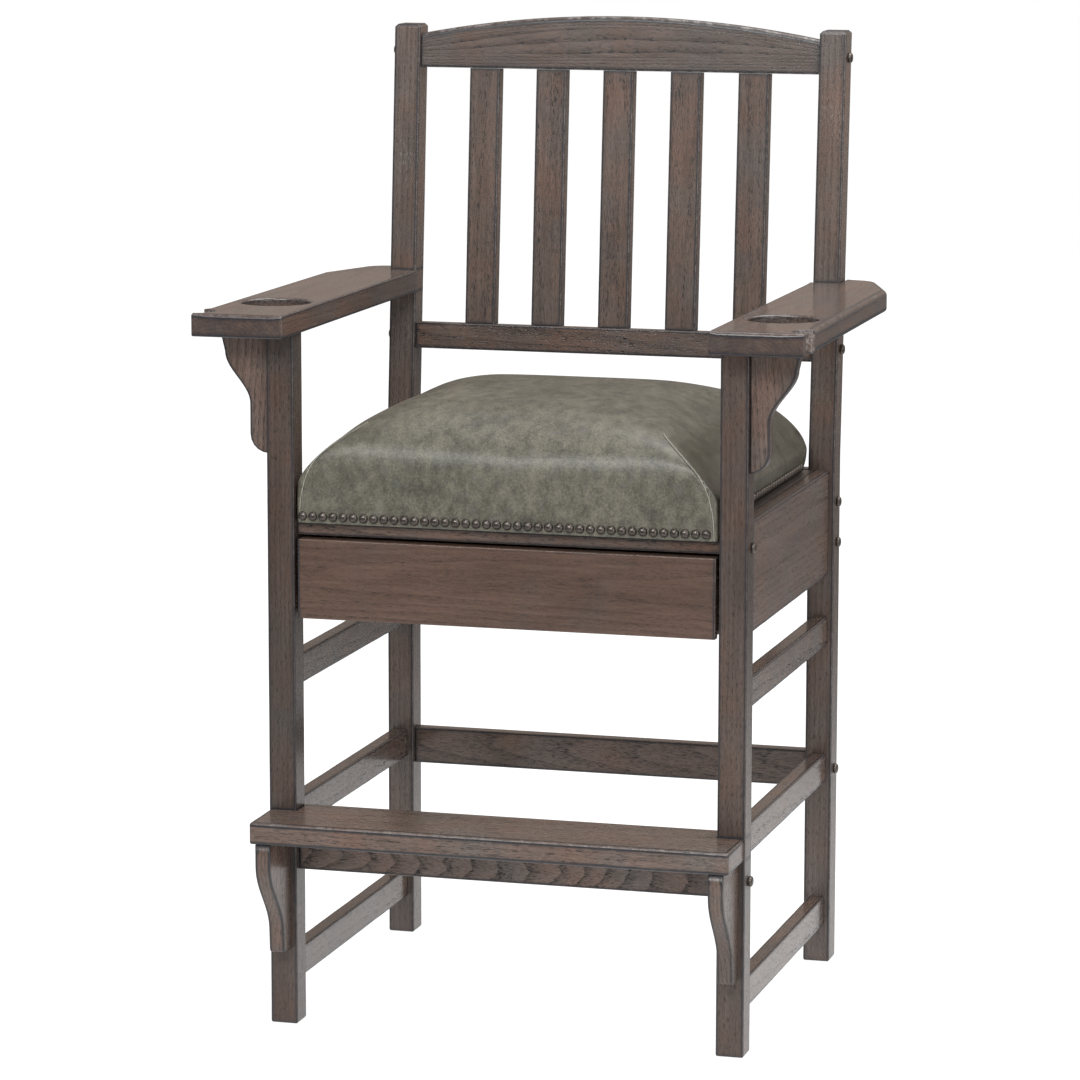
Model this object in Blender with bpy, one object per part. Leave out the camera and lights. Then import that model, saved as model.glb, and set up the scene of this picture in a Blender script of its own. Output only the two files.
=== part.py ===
"""Bar-height armchair with a drawer under an upholstered seat, in metres, +Z up.

The chair faces -Y. Left and right are as seen from the front. Every piece is placed in the
chair's own frame, whose y is zero on the front faces of the front legs, and one empty moves
that frame so that the world's origin lies on the floor under the middle of the whole chair.
"""

import math

import bmesh
import bpy
from mathutils import Vector

# Clearances
FIT = 0.0003  # between two pieces that touch
OVERRUN = 0.004  # how far a cutter stands out of what it cuts

# Legs and posts
FRAME_WIDTH = 0.594
LEG_WIDTH = 0.034
LEG_DEPTH = 0.034
POST_DEPTH = 0.036
SIDE_REACH = 0.442  # clear length between a front leg and the post behind it
ARM_UNDERSIDE = 0.849
KNEE_HEIGHT = 0.654  # where the back posts start to lean
RAKE_SHARE = 0.075  # how far the posts lean back for each unit of height

# Eased edges
EASE = 0.0015
HIDDEN_EASE = 0.0006
SOFT_EDGE = 0.0055  # the rounded edges of the arms, the foot board and the crest rail
TOP_EASE = 0.0038  # the chamfer round the top of a back post
SHARP_DEGREES = 40  # the least angle at an edge that is eased

# Side rails and their tenons
RAIL_THICKNESS = 0.019
RAIL_HEIGHT = 0.037
RAIL_INSET = 0.007  # from the outer face of a leg to the outer face of a rail
LOWER_RAIL_Z = 0.0495
MIDDLE_RAIL_Z = 0.2375
UPPER_RAIL_Z = 0.4155
TENON_LENGTH = 0.012
TENON_SHOULDER = 0.005

# Back stretcher, between the posts at the height of the middle rails
STRETCHER_HEIGHT = 0.047
STRETCHER_Z = 0.228

# Back: crest rail, lower rail and slats, measured along the leaning posts from the knee
BACK_RAIL_DEPTH = 0.024
LOWER_BACK_UP = 0.1225
LOWER_BACK_HEIGHT = 0.034
SLAT_LENGTH = 0.328
SLAT_COUNT = 5
SLAT_WIDTH = 0.0395
SLAT_DEPTH = 0.020
SLAT_PITCH = 0.0887
SLAT_TENON_LENGTH = 0.010
SLAT_TENON_SHOULDER = 0.006
CREST_END_HEIGHT = 0.0435
CREST_RISE = 0.0255  # how much higher the crest rail is in the middle
CREST_BELOW_TOP = 0.0109  # from the top of a post down to the ends of the crest rail's arch

# Arms
ARM_THICKNESS = 0.028
ARM_FRONT = 0.049  # in front of the front legs
ARM_INNER_OVERHANG = 0.0035  # past the inner face of the front leg
ARM_OUTER_OVERHANG = 0.077  # past the outer face of the front leg
ARM_TAPER = 0.004  # how much narrower the arm is where its rear corner is clipped
ARM_BACK_Y = 0.538
CLIP_LENGTH = 0.102
CLIP_WIDTH = 0.038
CLIP_ROUND = 0.030
ARM_BOTTOM_EASE = 0.002
CUP_RADIUS = 0.043
CUP_DEPTH = 0.017
CUP_LIP = 0.003
CUP_CENTRE_Y = 0.094
NOTCH_RADIUS = 0.0203
NOTCH_NOSE = 0.0065  # wood left in front of the cue notch
ARM_TENON_SHOULDER = 0.007
ARM_TENON_LENGTH = 0.012

# Corbels under the arms
CORBEL_THICKNESS = 0.019
CORBEL_DROP = 0.145
CORBEL_REACH = 0.060
CORBEL_NECK = 0.023

# Foot board, its brackets and its apron
FOOT_TOP = 0.268
FOOT_THICKNESS = 0.027
FOOT_FRONT = 0.079
FOOT_BACK_OVERHANG = 0.004
FOOT_END_INSET = 0.001
BRACKET_THICKNESS = 0.019
BRACKET_DROP = 0.146
BRACKET_REACH = 0.076
BRACKET_NECK = 0.027
APRON_HEIGHT = 0.0485
APRON_SETBACK = 0.012
APRON_THICKNESS = 0.019
APRON_BOLT_RISE = 0.0195

# Seat box
SEAT_BOX_TOP = 0.640
SEAT_BOX_HEIGHT = 0.134
PANEL_THICKNESS = 0.019
DECK_THICKNESS = 0.018
FRONT_RAIL_HEIGHT = 0.016
FRONT_RAIL_DEPTH = 0.022
CLEAT_WIDTH = 0.031
LIP_WIDTH = 0.014
BLOCK_SIZE = 0.055
BLOCK_NOSE = 0.008
BACK_BOLT_SPREAD = 0.052
BACK_BOLT_DROP = 0.068  # from the seat box's top to the middle of its pair of bolts

# Upholstered seat
CUSHION_SWELL = 0.0025  # how far its sides swell out past the inner faces of the front legs
CUSHION_LEG_GAP = 0.001  # where it is squeezed between the front legs
CUSHION_POST_GAP = 0.003
CUSHION_WALL = 0.031  # height of its upright sides
CUSHION_CROWN = 0.100  # from the top of the sides to the middle
CUSHION_CORNER = 0.012
CUSHION_DRAW = 0.012  # how far its sides and back are drawn in at the bottom
SKIRT_THICKNESS = 0.003
SKIRT_SETBACK = 0.0012
SKIRT_OVERLAP = 0.012
CROWN_ACROSS_POWER = 4.2
CROWN_ALONG_POWER = 1.8
CROWN_ALONG_ROUND = 0.29
CROWN_MITRE = 2.7
WALL_SHARES = ((0.0, 1.0), (0.35, 0.35), (0.7, 0.08))  # up the side, and of the draw that is left
RING_SHARES = (0.0, 0.012, 0.035, 0.075, 0.13, 0.2, 0.3, 0.43, 0.58, 0.78)
SQUEEZE_LENGTH = 0.080  # behind the front legs, over which the swell grows

# Drawer
DRAWER_GAP = 0.004  # between the drawer front and a leg
DRAWER_REVEAL = 0.003
DRAWER_FRONT_HEIGHT = 0.0974
DRAWER_FRONT_THICKNESS = 0.019
FINGER_COVE = 0.008
DRAWER_BOX_HEIGHT = 0.075
DRAWER_TRAVEL = 0.320
DRAWER_WALL = 0.012
DRAWER_BOTTOM_THICKNESS = 0.006
DRAWER_BOTTOM_RISE = 0.008
GROOVE_DEPTH = 0.005
RUNNER_THICKNESS = 0.0135
RUNNER_LEDGE = 0.013
GUIDE_THICKNESS = 0.020
GUIDE_HEIGHT = 0.040
RUN_CLEARANCE = 0.0007
STOP_WIDTH = 0.060
STOP_DEPTH = 0.016
STOP_OVERLAP = 0.005  # how far the stop hangs below the top of the drawer's back

# Dome-headed bolts that hold the two side frames together
BOLT_RADIUS = 0.0032
BOLT_HEAD_RADIUS = 0.0065
BOLT_HEAD_HEIGHT = 0.005
BOLT_BITE = 0.026  # length inside the cross piece

# Facets
BOLT_SIDES = 12
DOME_STEPS = 3
CUP_SIDES = 48
ARC_STEPS = 10
SOFT_STEPS = 3
CUSHION_EDGE_STEPS = 12
CUSHION_CORNER_STEPS = 3

# Places worked out from the sizes above
HALF_WIDTH = FRAME_WIDTH / 2
LEG_INNER = HALF_WIDTH - LEG_WIDTH
POST_Y = LEG_DEPTH + SIDE_REACH
POST_CENTRE_Y = POST_Y + POST_DEPTH / 2
RAIL_OUTER = HALF_WIDTH - RAIL_INSET
RAIL_INNER = RAIL_OUTER - RAIL_THICKNESS
PANEL_INNER = RAIL_OUTER - PANEL_THICKNESS
SEAT_BOX_BOTTOM = SEAT_BOX_TOP - SEAT_BOX_HEIGHT
DECK_BOTTOM = SEAT_BOX_TOP - DECK_THICKNESS
FRONT_RAIL_TOP = DECK_BOTTOM - FIT
FRONT_RAIL_BOTTOM = FRONT_RAIL_TOP - FRONT_RAIL_HEIGHT
CLEAT_INNER = PANEL_INNER - FIT - CLEAT_WIDTH
LIP_INNER = PANEL_INNER - FIT - LIP_WIDTH
BACK_PANEL_Y = POST_CENTRE_Y - PANEL_THICKNESS / 2
FOOT_UNDERSIDE = FOOT_TOP - FOOT_THICKNESS
ARM_TOP = ARM_UNDERSIDE + ARM_THICKNESS
ARM_OUTER = HALF_WIDTH + ARM_OUTER_OVERHANG
ARM_INNER = LEG_INNER - ARM_INNER_OVERHANG
DRAWER_FRONT_TOP = FRONT_RAIL_BOTTOM - DRAWER_REVEAL
DRAWER_FRONT_BOTTOM = DRAWER_FRONT_TOP - DRAWER_FRONT_HEIGHT
DRAWER_HALF = PANEL_INNER - FIT - GUIDE_THICKNESS - RUN_CLEARANCE
DRAWER_BOX_FRONT = DRAWER_FRONT_THICKNESS + FIT
DRAWER_BOX_BACK = BACK_PANEL_Y - FIT
DRAWER_BOX_BOTTOM = SEAT_BOX_BOTTOM + RUNNER_THICKNESS + FIT
DRAWER_BOX_TOP = DRAWER_BOX_BOTTOM + DRAWER_BOX_HEIGHT
DRAWER_FLOOR_Z = DRAWER_BOX_BOTTOM + DRAWER_BOTTOM_RISE
DRAWER_FLOOR_TOP = DRAWER_FLOOR_Z + DRAWER_BOTTOM_THICKNESS
RAKE_COSINE = 1 / math.hypot(1, RAKE_SHARE)
BACK_CENTRE = POST_DEPTH * RAKE_COSINE / 2  # middle of a post in the leaning frame
LOWER_BACK_TOP = LOWER_BACK_UP + LOWER_BACK_HEIGHT
CREST_UP = LOWER_BACK_TOP + FIT + SLAT_LENGTH + FIT
POST_LEAN_LENGTH = CREST_UP + CREST_END_HEIGHT + CREST_BELOW_TOP
POST_HEIGHT = KNEE_HEIGHT + POST_LEAN_LENGTH * RAKE_COSINE
POST_TOP_BACK_Z = POST_HEIGHT - TOP_EASE * RAKE_COSINE
CHAIR_BACK_Y = POST_Y + POST_DEPTH + RAKE_SHARE * (POST_TOP_BACK_Z - KNEE_HEIGHT)
MIDDLE_Y = (CHAIR_BACK_Y - FOOT_FRONT) / 2

SIDES = ((-1, "left"), (1, "right"))


# Small tools


def finish(name, colour, roughness, metallic=0.0):
    """A plain Principled material."""
    material = bpy.data.materials.new(name)
    material.use_nodes = True
    shader = material.node_tree.nodes["Principled BSDF"]
    shader.inputs["Base Color"].default_value = (*colour, 1)
    shader.inputs["Roughness"].default_value = roughness
    shader.inputs["Metallic"].default_value = metallic
    material.diffuse_color = (*colour, 1)
    return material


def frame_empty(name, location, parent=None):
    empty = bpy.data.objects.new(name, None)
    bpy.context.collection.objects.link(empty)
    empty.location = location
    empty.parent = parent
    return empty


def add_piece(name, shape, material, parent, location=(0, 0, 0)):
    """Turn a bmesh into an object with its faces pointing outwards."""
    bmesh.ops.recalc_face_normals(shape, faces=shape.faces)
    mesh = bpy.data.meshes.new(name)
    shape.to_mesh(mesh)
    shape.free()
    mesh.materials.append(material)
    piece = bpy.data.objects.new(name, mesh)
    bpy.context.collection.objects.link(piece)
    piece.location = location
    piece.parent = parent
    return piece


def outward(side, near, far):
    """The span from near to far, out from the middle, on one side of the chair."""
    return (near, far) if side > 0 else (-far, -near)


def box_shape(x, y, z):
    """A box between three spans, about its own middle, and that middle."""
    low, high = Vector((x[0], y[0], z[0])), Vector((x[1], y[1], z[1]))
    shape = bmesh.new()
    bmesh.ops.create_cube(shape, size=1)
    for vert in shape.verts:
        vert.co = Vector(c * s for c, s in zip(vert.co, high - low))
    return shape, (low + high) / 2


def ease_edges(shape, width, steps=1, chosen=None):
    """Round or chamfer the sharp edges, or the chosen ones."""
    edges = [e for e in shape.edges if e.calc_face_angle(0) > math.radians(SHARP_DEGREES)]
    if chosen:
        edges = [e for e in edges if chosen(e)]
    bmesh.ops.bevel(
        shape, geom=edges, offset=width, segments=steps, profile=0.5, affect="EDGES", clamp_overlap=True
    )


def board(name, x, y, z, material, parent, ease=EASE, steps=1, tenons=()):
    """A rectangular piece between three spans, with eased edges and a tenon on each face asked for."""
    shape, middle = box_shape(x, y, z)
    ease_edges(shape, ease, steps)
    for direction, shoulder, length in tenons:
        add_tenon(shape, Vector(direction), shoulder - ease, length)
    return add_piece(name, shape, material, parent, middle)


def add_tenon(shape, direction, inset, length):
    """Draw a tenon out of the flat end that faces a direction."""
    end = max(shape.faces, key=lambda f: (f.normal.dot(direction) > 0.99) * f.calc_area())
    bmesh.ops.inset_individual(shape, faces=[end], thickness=inset, use_even_offset=True)
    grown = bmesh.ops.extrude_discrete_faces(shape, faces=[end])["faces"][0]
    bmesh.ops.translate(shape, verts=grown.verts, vec=direction * length)


def prism_shape(outline, plane, span):
    """An outline in two of the axes, extruded along the third, about its own middle."""
    across, up = ("XYZ".index(axis) for axis in plane)
    along = 3 - across - up
    shape = bmesh.new()
    ends = []
    for depth in span:
        ring = []
        for a, b in outline:
            point = [0, 0, 0]
            point[across], point[up], point[along] = a, b, depth
            ring.append(shape.verts.new(point))
        ends.append(ring)
    count = len(outline)
    shape.faces.new(ends[0])
    shape.faces.new(ends[1][::-1])
    for i in range(count):
        j = (i + 1) % count
        shape.faces.new((ends[0][i], ends[1][i], ends[1][j], ends[0][j]))
    bmesh.ops.recalc_face_normals(shape, faces=shape.faces)
    shape.normal_update()
    low = [min(v.co[k] for v in shape.verts) for k in range(3)]
    high = [max(v.co[k] for v in shape.verts) for k in range(3)]
    middle = (Vector(low) + Vector(high)) / 2
    bmesh.ops.translate(shape, verts=shape.verts, vec=-middle)
    return shape, middle


def turned_shape(profile, sides):
    """A profile of (radius, height) points turned about Z, closed where the radius is zero."""
    shape = bmesh.new()
    rings = []
    for radius, height in profile:
        if radius == 0:
            rings.append([shape.verts.new((0, 0, height))] * sides)
            continue
        turns = [2 * math.pi * i / sides for i in range(sides)]
        rings.append([shape.verts.new((radius * math.cos(t), radius * math.sin(t), height)) for t in turns])
    for lower, upper in zip(rings, rings[1:]):
        for i in range(sides):
            j = (i + 1) % sides
            corners = dict.fromkeys((lower[i], lower[j], upper[j], upper[i]))
            shape.faces.new(tuple(corners))
    bmesh.ops.recalc_face_normals(shape, faces=shape.faces)
    return shape


def arc(centre, radius, start, end, steps=ARC_STEPS):
    """Points on a round stretch, angles in degrees."""
    turns = [math.radians(start + (end - start) * i / steps) for i in range(steps + 1)]
    return [(centre[0] + radius * math.cos(t), centre[1] + radius * math.sin(t)) for t in turns]


def smooth_s(start, end, steps=ARC_STEPS):
    """An S-shaped stretch between two points, upright at both ends."""
    stretch = []
    for i in range(steps + 1):
        share = i / steps
        eased = (1 - math.cos(math.pi * share)) / 2
        stretch.append((start[0] + (end[0] - start[0]) * eased, start[1] + (end[1] - start[1]) * share))
    return stretch


def cut(piece, shape, location, parent, turn=None):
    """Take a shape away from a piece."""
    cutter = add_piece("cutter_" + piece.name, shape, piece.data.materials[0], parent, location)
    if turn:
        cutter.rotation_euler = turn
    cutter.hide_render = True
    cutter.display_type = "WIRE"
    cutter.hide_select = True
    modifier = piece.modifiers.new(cutter.name, "BOOLEAN")
    modifier.operation = "DIFFERENCE"
    modifier.object = cutter


def cut_box(piece, x, y, z, parent):
    shape, middle = box_shape(x, y, z)
    cut(piece, shape, middle, parent)


# Legs, posts and rails


def make_front_legs(wood, chair):
    legs = {}
    for side, name in SIDES:
        legs[side] = board(
            "front_leg_" + name,
            outward(side, LEG_INNER, HALF_WIDTH),
            (0, LEG_DEPTH),
            (0, ARM_UNDERSIDE - FIT),
            wood,
            chair,
            EASE,
            2,
            tenons=[((0, 0, 1), ARM_TENON_SHOULDER, ARM_TENON_LENGTH)],
        )
    return legs


def post_outline():
    """The post seen from the side: upright up to the knee, and leaning back above it."""
    top = RAKE_SHARE * (POST_HEIGHT - KNEE_HEIGHT)
    front, back = POST_Y, POST_Y + POST_DEPTH
    return [
        (front, 0),
        (back, 0),
        (back, KNEE_HEIGHT),
        (back + top, POST_HEIGHT),
        (front + top, POST_HEIGHT),
        (front, KNEE_HEIGHT),
    ]


def make_back_posts(wood, chair):
    posts = {}
    for side, name in SIDES:
        shape, middle = prism_shape(post_outline(), "YZ", outward(side, LEG_INNER, HALF_WIDTH))
        top = POST_HEIGHT / 2 - FIT
        ease_edges(shape, TOP_EASE, 1, lambda e: all(v.co.z > top for v in e.verts))

        def long_or_bottom(edge):
            return edge.calc_length() > POST_HEIGHT / 4 or all(v.co.z < -top for v in edge.verts)

        ease_edges(shape, EASE, 2, long_or_bottom)
        posts[side] = add_piece("back_post_" + name, shape, wood, chair, middle)
    return posts


def make_side_rails(wood, chair, legs, posts):
    """Three rails a side, tenoned into the front leg and the back post."""
    heights = (("lower", LOWER_RAIL_Z), ("middle", MIDDLE_RAIL_Z), ("upper", UPPER_RAIL_Z))
    slack = TENON_SHOULDER - FIT
    for side, name in SIDES:
        across = outward(side, RAIL_INNER + slack, RAIL_OUTER - slack)
        for level, z in heights:
            board(
                f"side_rail_{level}_{name}",
                outward(side, RAIL_INNER, RAIL_OUTER),
                (LEG_DEPTH + FIT, POST_Y - FIT),
                (z, z + RAIL_HEIGHT),
                wood,
                chair,
                tenons=[
                    ((0, -1, 0), TENON_SHOULDER, TENON_LENGTH),
                    ((0, 1, 0), TENON_SHOULDER, TENON_LENGTH),
                ],
            )
            mortise = (z + slack, z + RAIL_HEIGHT - slack)
            cut_box(legs[side], across, (LEG_DEPTH - TENON_LENGTH, LEG_DEPTH + OVERRUN), mortise, chair)
            cut_box(posts[side], across, (POST_Y - OVERRUN, POST_Y + TENON_LENGTH), mortise, chair)


def make_back_stretcher(wood, chair):
    return board(
        "back_stretcher",
        (FIT - LEG_INNER, LEG_INNER - FIT),
        (POST_CENTRE_Y - RAIL_THICKNESS / 2, POST_CENTRE_Y + RAIL_THICKNESS / 2),
        (STRETCHER_Z, STRETCHER_Z + STRETCHER_HEIGHT),
        wood,
        chair,
    )


# Back


def crest_outline():
    """Straight below, with a long round arch above."""
    half = LEG_INNER - FIT
    radius = (half**2 + CREST_RISE**2) / (2 * CREST_RISE)
    reach = math.degrees(math.asin(half / radius))
    centre = (0, CREST_UP + CREST_END_HEIGHT + CREST_RISE - radius)
    arch = arc(centre, radius, 90 - reach, 90 + reach, 2 * ARC_STEPS)
    return [(-half, CREST_UP), (half, CREST_UP)] + arch


def make_back_rails(wood, leaning):
    """The crest rail and the lower rail, in the frame that leans with the posts."""
    depth = (BACK_CENTRE - BACK_RAIL_DEPTH / 2, BACK_CENTRE + BACK_RAIL_DEPTH / 2)
    shape, middle = prism_shape(crest_outline(), "XZ", depth)
    top = CREST_UP + CREST_END_HEIGHT / 2 - middle.z
    half = LEG_INNER - 2 * FIT

    def on_arch(edge):
        return all(v.co.z > top for v in edge.verts) and abs(edge.verts[0].co.y - edge.verts[1].co.y) < FIT

    def along_bottom(edge):
        return all(v.co.z < -top for v in edge.verts) and abs(edge.verts[0].co.x) > half / 2

    ease_edges(shape, SOFT_EDGE, SOFT_STEPS, lambda e: on_arch(e) and abs(e.verts[0].co.x - e.verts[1].co.x) > FIT)
    ease_edges(shape, EASE, 1, lambda e: along_bottom(e) and abs(e.verts[0].co.x - e.verts[1].co.x) > half)
    crest = add_piece("crest_rail", shape, wood, leaning, middle)
    lower = board(
        "lower_back_rail",
        (FIT - LEG_INNER, LEG_INNER - FIT),
        depth,
        (LOWER_BACK_UP, LOWER_BACK_TOP),
        wood,
        leaning,
        EASE,
        2,
    )
    return crest, lower


def make_slats(wood, leaning, crest, lower):
    """Upright slats, tenoned into both back rails."""
    depth = (BACK_CENTRE - SLAT_DEPTH / 2, BACK_CENTRE + SLAT_DEPTH / 2)
    slack = SLAT_TENON_SHOULDER - FIT
    for i in range(SLAT_COUNT):
        x = (i - (SLAT_COUNT - 1) / 2) * SLAT_PITCH
        left, right = x - SLAT_WIDTH / 2, x + SLAT_WIDTH / 2
        board(
            f"back_slat_{i + 1}",
            (left, right),
            depth,
            (LOWER_BACK_TOP + FIT, CREST_UP - FIT),
            wood,
            leaning,
            tenons=[
                ((0, 0, 1), SLAT_TENON_SHOULDER, SLAT_TENON_LENGTH),
                ((0, 0, -1), SLAT_TENON_SHOULDER, SLAT_TENON_LENGTH),
            ],
        )
        across = (left + slack, right - slack)
        within = (depth[0] + slack, depth[1] - slack)
        cut_box(crest, across, within, (CREST_UP - OVERRUN, CREST_UP + SLAT_TENON_LENGTH), leaning)
        below = (LOWER_BACK_TOP - SLAT_TENON_LENGTH, LOWER_BACK_TOP + OVERRUN)
        cut_box(lower, across, within, below, leaning)


# Arms


def clip_corner(start, corner, end, radius):
    """The round stretch that takes off a corner between two straight edges."""
    start, corner, end = Vector(start), Vector(corner), Vector(end)
    before, after = (start - corner).normalized(), (end - corner).normalized()
    half_angle = before.angle(after) / 2
    reach = radius / math.tan(half_angle)
    centre = corner + (before + after).normalized() * radius / math.sin(half_angle)
    first, last = corner + before * reach - centre, corner + after * reach - centre
    turn = math.atan2(first.x * last.y - first.y * last.x, first.dot(last))
    angle = math.degrees(math.atan2(first.y, first.x))
    return arc(centre, radius, angle, angle + math.degrees(turn), ARC_STEPS // 2)


def arm_outline(side):
    """Plan of an arm: a straight inner edge, the cue notch in the outer edge, a clipped rear corner."""
    front = -ARM_FRONT
    notch_y = front + NOTCH_NOSE + NOTCH_RADIUS
    rear_outer = ARM_OUTER - ARM_TAPER
    clip_start = (rear_outer, ARM_BACK_Y - CLIP_LENGTH)
    rear_corner = (rear_outer - CLIP_WIDTH, ARM_BACK_Y)
    back_inner = (LEG_INNER, ARM_BACK_Y)
    outline = [(ARM_INNER, front), (ARM_OUTER, front)]
    outline += arc((ARM_OUTER, notch_y), NOTCH_RADIUS, 270, 90)
    outline += [clip_start]
    outline += clip_corner(clip_start, rear_corner, back_inner, CLIP_ROUND)
    outline += [back_inner]
    return [(side * x, y) for x, y in outline]


def cup_cutter():
    """The round drink recess with a rounded lip, turned about Z, its top above the arm."""
    lip = arc((CUP_RADIUS + CUP_LIP, -CUP_LIP), CUP_LIP, 180, 90, SOFT_STEPS)
    profile = [(0, -CUP_DEPTH), (CUP_RADIUS, -CUP_DEPTH)] + lip
    profile += [(CUP_RADIUS + CUP_LIP, OVERRUN), (0, OVERRUN)]
    return turned_shape(profile, CUP_SIDES)


def make_arms(wood, chair):
    for side, name in SIDES:
        shape, middle = prism_shape(arm_outline(side), "XY", (ARM_UNDERSIDE, ARM_TOP))
        top = ARM_THICKNESS / 2 - FIT
        ease_edges(shape, SOFT_EDGE, SOFT_STEPS + 1, lambda e: all(v.co.z > top for v in e.verts))
        ease_edges(shape, ARM_BOTTOM_EASE, 1, lambda e: all(v.co.z < -top for v in e.verts))
        arm = add_piece("arm_" + name, shape, wood, chair, middle)
        recess_x = side * (ARM_INNER + ARM_OUTER - ARM_TAPER / 2) / 2
        cut(arm, cup_cutter(), (recess_x, CUP_CENTRE_Y, ARM_TOP), chair)
        cut_post_notch(arm, side, chair)
        slack = ARM_TENON_SHOULDER - FIT
        cut_box(
            arm,
            outward(side, LEG_INNER + slack, HALF_WIDTH - slack),
            (slack, LEG_DEPTH - slack),
            (ARM_UNDERSIDE - OVERRUN, ARM_UNDERSIDE + ARM_TENON_LENGTH),
            chair,
        )


def cut_post_notch(arm, side, chair):
    """The arm stops against the front of the post and passes along its outer side."""
    low, high = ARM_UNDERSIDE - OVERRUN, ARM_TOP + OVERRUN
    faces = [(POST_Y + RAKE_SHARE * (z - KNEE_HEIGHT) - FIT, z) for z in (low, high)]
    far = ARM_BACK_Y + OVERRUN
    outline = [faces[0], (far, low), (far, high), faces[1]]
    shape, middle = prism_shape(outline, "YZ", outward(side, ARM_INNER - OVERRUN, HALF_WIDTH + FIT))
    cut(arm, shape, middle, chair)


def corbel_outline(side):
    """A bracket under the arm: a deep top, a drawn-in S and a round toe, against the leg's outer face."""
    inner = HALF_WIDTH + FIT
    top = ARM_UNDERSIDE - FIT
    toe = top - CORBEL_DROP
    reach, neck = inner + CORBEL_REACH, inner + CORBEL_NECK
    round_toe = arc((neck - CORBEL_NECK, toe + CORBEL_NECK), CORBEL_NECK, 0, -90, ARC_STEPS // 2)
    outline = [(inner, top), (reach, top)]
    outline += smooth_s((reach - SOFT_EDGE, top - CORBEL_NECK), (neck, toe + CORBEL_REACH))
    outline += round_toe
    return [(side * x, z) for x, z in outline]


def make_corbels(wood, chair):
    middle_y = LEG_DEPTH / 2
    depth = (middle_y - CORBEL_THICKNESS / 2, middle_y + CORBEL_THICKNESS / 2)
    for side, name in SIDES:
        shape, middle = prism_shape(corbel_outline(side), "XZ", depth)
        ease_edges(shape, EASE, 1, lambda e: abs(e.verts[0].co.y - e.verts[1].co.y) < FIT)
        add_piece("arm_corbel_" + name, shape, wood, chair, middle)


# Foot rest


def foot_board_outline():
    """Full width in front of the legs, and a tongue between them."""
    ends = HALF_WIDTH - FOOT_END_INSET
    tongue = LEG_INNER - FIT
    back = LEG_DEPTH + FOOT_BACK_OVERHANG
    return [
        (-ends, -FOOT_FRONT),
        (ends, -FOOT_FRONT),
        (ends, -FIT),
        (tongue, -FIT),
        (tongue, back),
        (-tongue, back),
        (-tongue, -FIT),
        (-ends, -FIT),
    ]


def make_foot_board(wood, chair):
    shape, middle = prism_shape(foot_board_outline(), "XY", (FOOT_UNDERSIDE, FOOT_TOP))
    top = FOOT_THICKNESS / 2 - FIT
    legs_front = -FIT - OVERRUN - middle.y

    def shows(edge):
        return all(v.co.y < legs_front + OVERRUN / 2 for v in edge.verts)

    ease_edges(shape, SOFT_EDGE, SOFT_STEPS, lambda e: all(v.co.z > top for v in e.verts) and shows(e))
    ease_edges(shape, EASE, 1, lambda e: all(v.co.z < -top for v in e.verts) and shows(e))
    return add_piece("foot_board", shape, wood, chair, middle)


def bracket_outline():
    """A bracket on the front of a leg: a deep top, a drawn-in S and a slim foot."""
    top = FOOT_UNDERSIDE - FIT
    toe = top - BRACKET_DROP
    reach, neck = FIT + BRACKET_REACH, FIT + BRACKET_NECK
    round_toe = arc((-neck + EASE + SOFT_EDGE, toe + SOFT_EDGE), SOFT_EDGE, 180, 270, ARC_STEPS // 2)
    outline = [(-FIT, top), (-reach, top)]
    outline += smooth_s((-reach, top - BRACKET_NECK), (-neck, toe + BRACKET_NECK))
    outline += round_toe + [(-FIT, toe)]
    return outline


def make_foot_brackets(wood, chair):
    middle_x = HALF_WIDTH - LEG_WIDTH / 2
    for side, name in SIDES:
        span = outward(side, middle_x - BRACKET_THICKNESS / 2, middle_x + BRACKET_THICKNESS / 2)
        shape, middle = prism_shape(bracket_outline(), "YZ", span)
        ease_edges(shape, EASE, 1, lambda e: abs(e.verts[0].co.x - e.verts[1].co.x) < FIT)
        add_piece("foot_bracket_" + name, shape, wood, chair, middle)


def make_foot_apron(wood, chair):
    top = FOOT_UNDERSIDE - FIT
    return board(
        "foot_apron",
        (FIT - LEG_INNER, LEG_INNER - FIT),
        (APRON_SETBACK, APRON_SETBACK + APRON_THICKNESS),
        (top - APRON_HEIGHT, top),
        wood,
        chair,
    )


# Seat box


def make_side_panels(wood, chair):
    for side, name in SIDES:
        board(
            "side_panel_" + name,
            outward(side, PANEL_INNER, RAIL_OUTER),
            (LEG_DEPTH + FIT, POST_Y - FIT),
            (SEAT_BOX_BOTTOM, SEAT_BOX_TOP),
            wood,
            chair,
        )


def make_seat_rails(wood, chair):
    across = (FIT - LEG_INNER, LEG_INNER - FIT)
    front = board(
        "seat_front_rail",
        across,
        (LEG_DEPTH - FRONT_RAIL_DEPTH, LEG_DEPTH),
        (FRONT_RAIL_BOTTOM, FRONT_RAIL_TOP),
        wood,
        chair,
    )
    back = board(
        "seat_back_panel",
        across,
        (BACK_PANEL_Y, BACK_PANEL_Y + PANEL_THICKNESS),
        (SEAT_BOX_BOTTOM, SEAT_BOX_TOP),
        wood,
        chair,
    )
    return front, back


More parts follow.
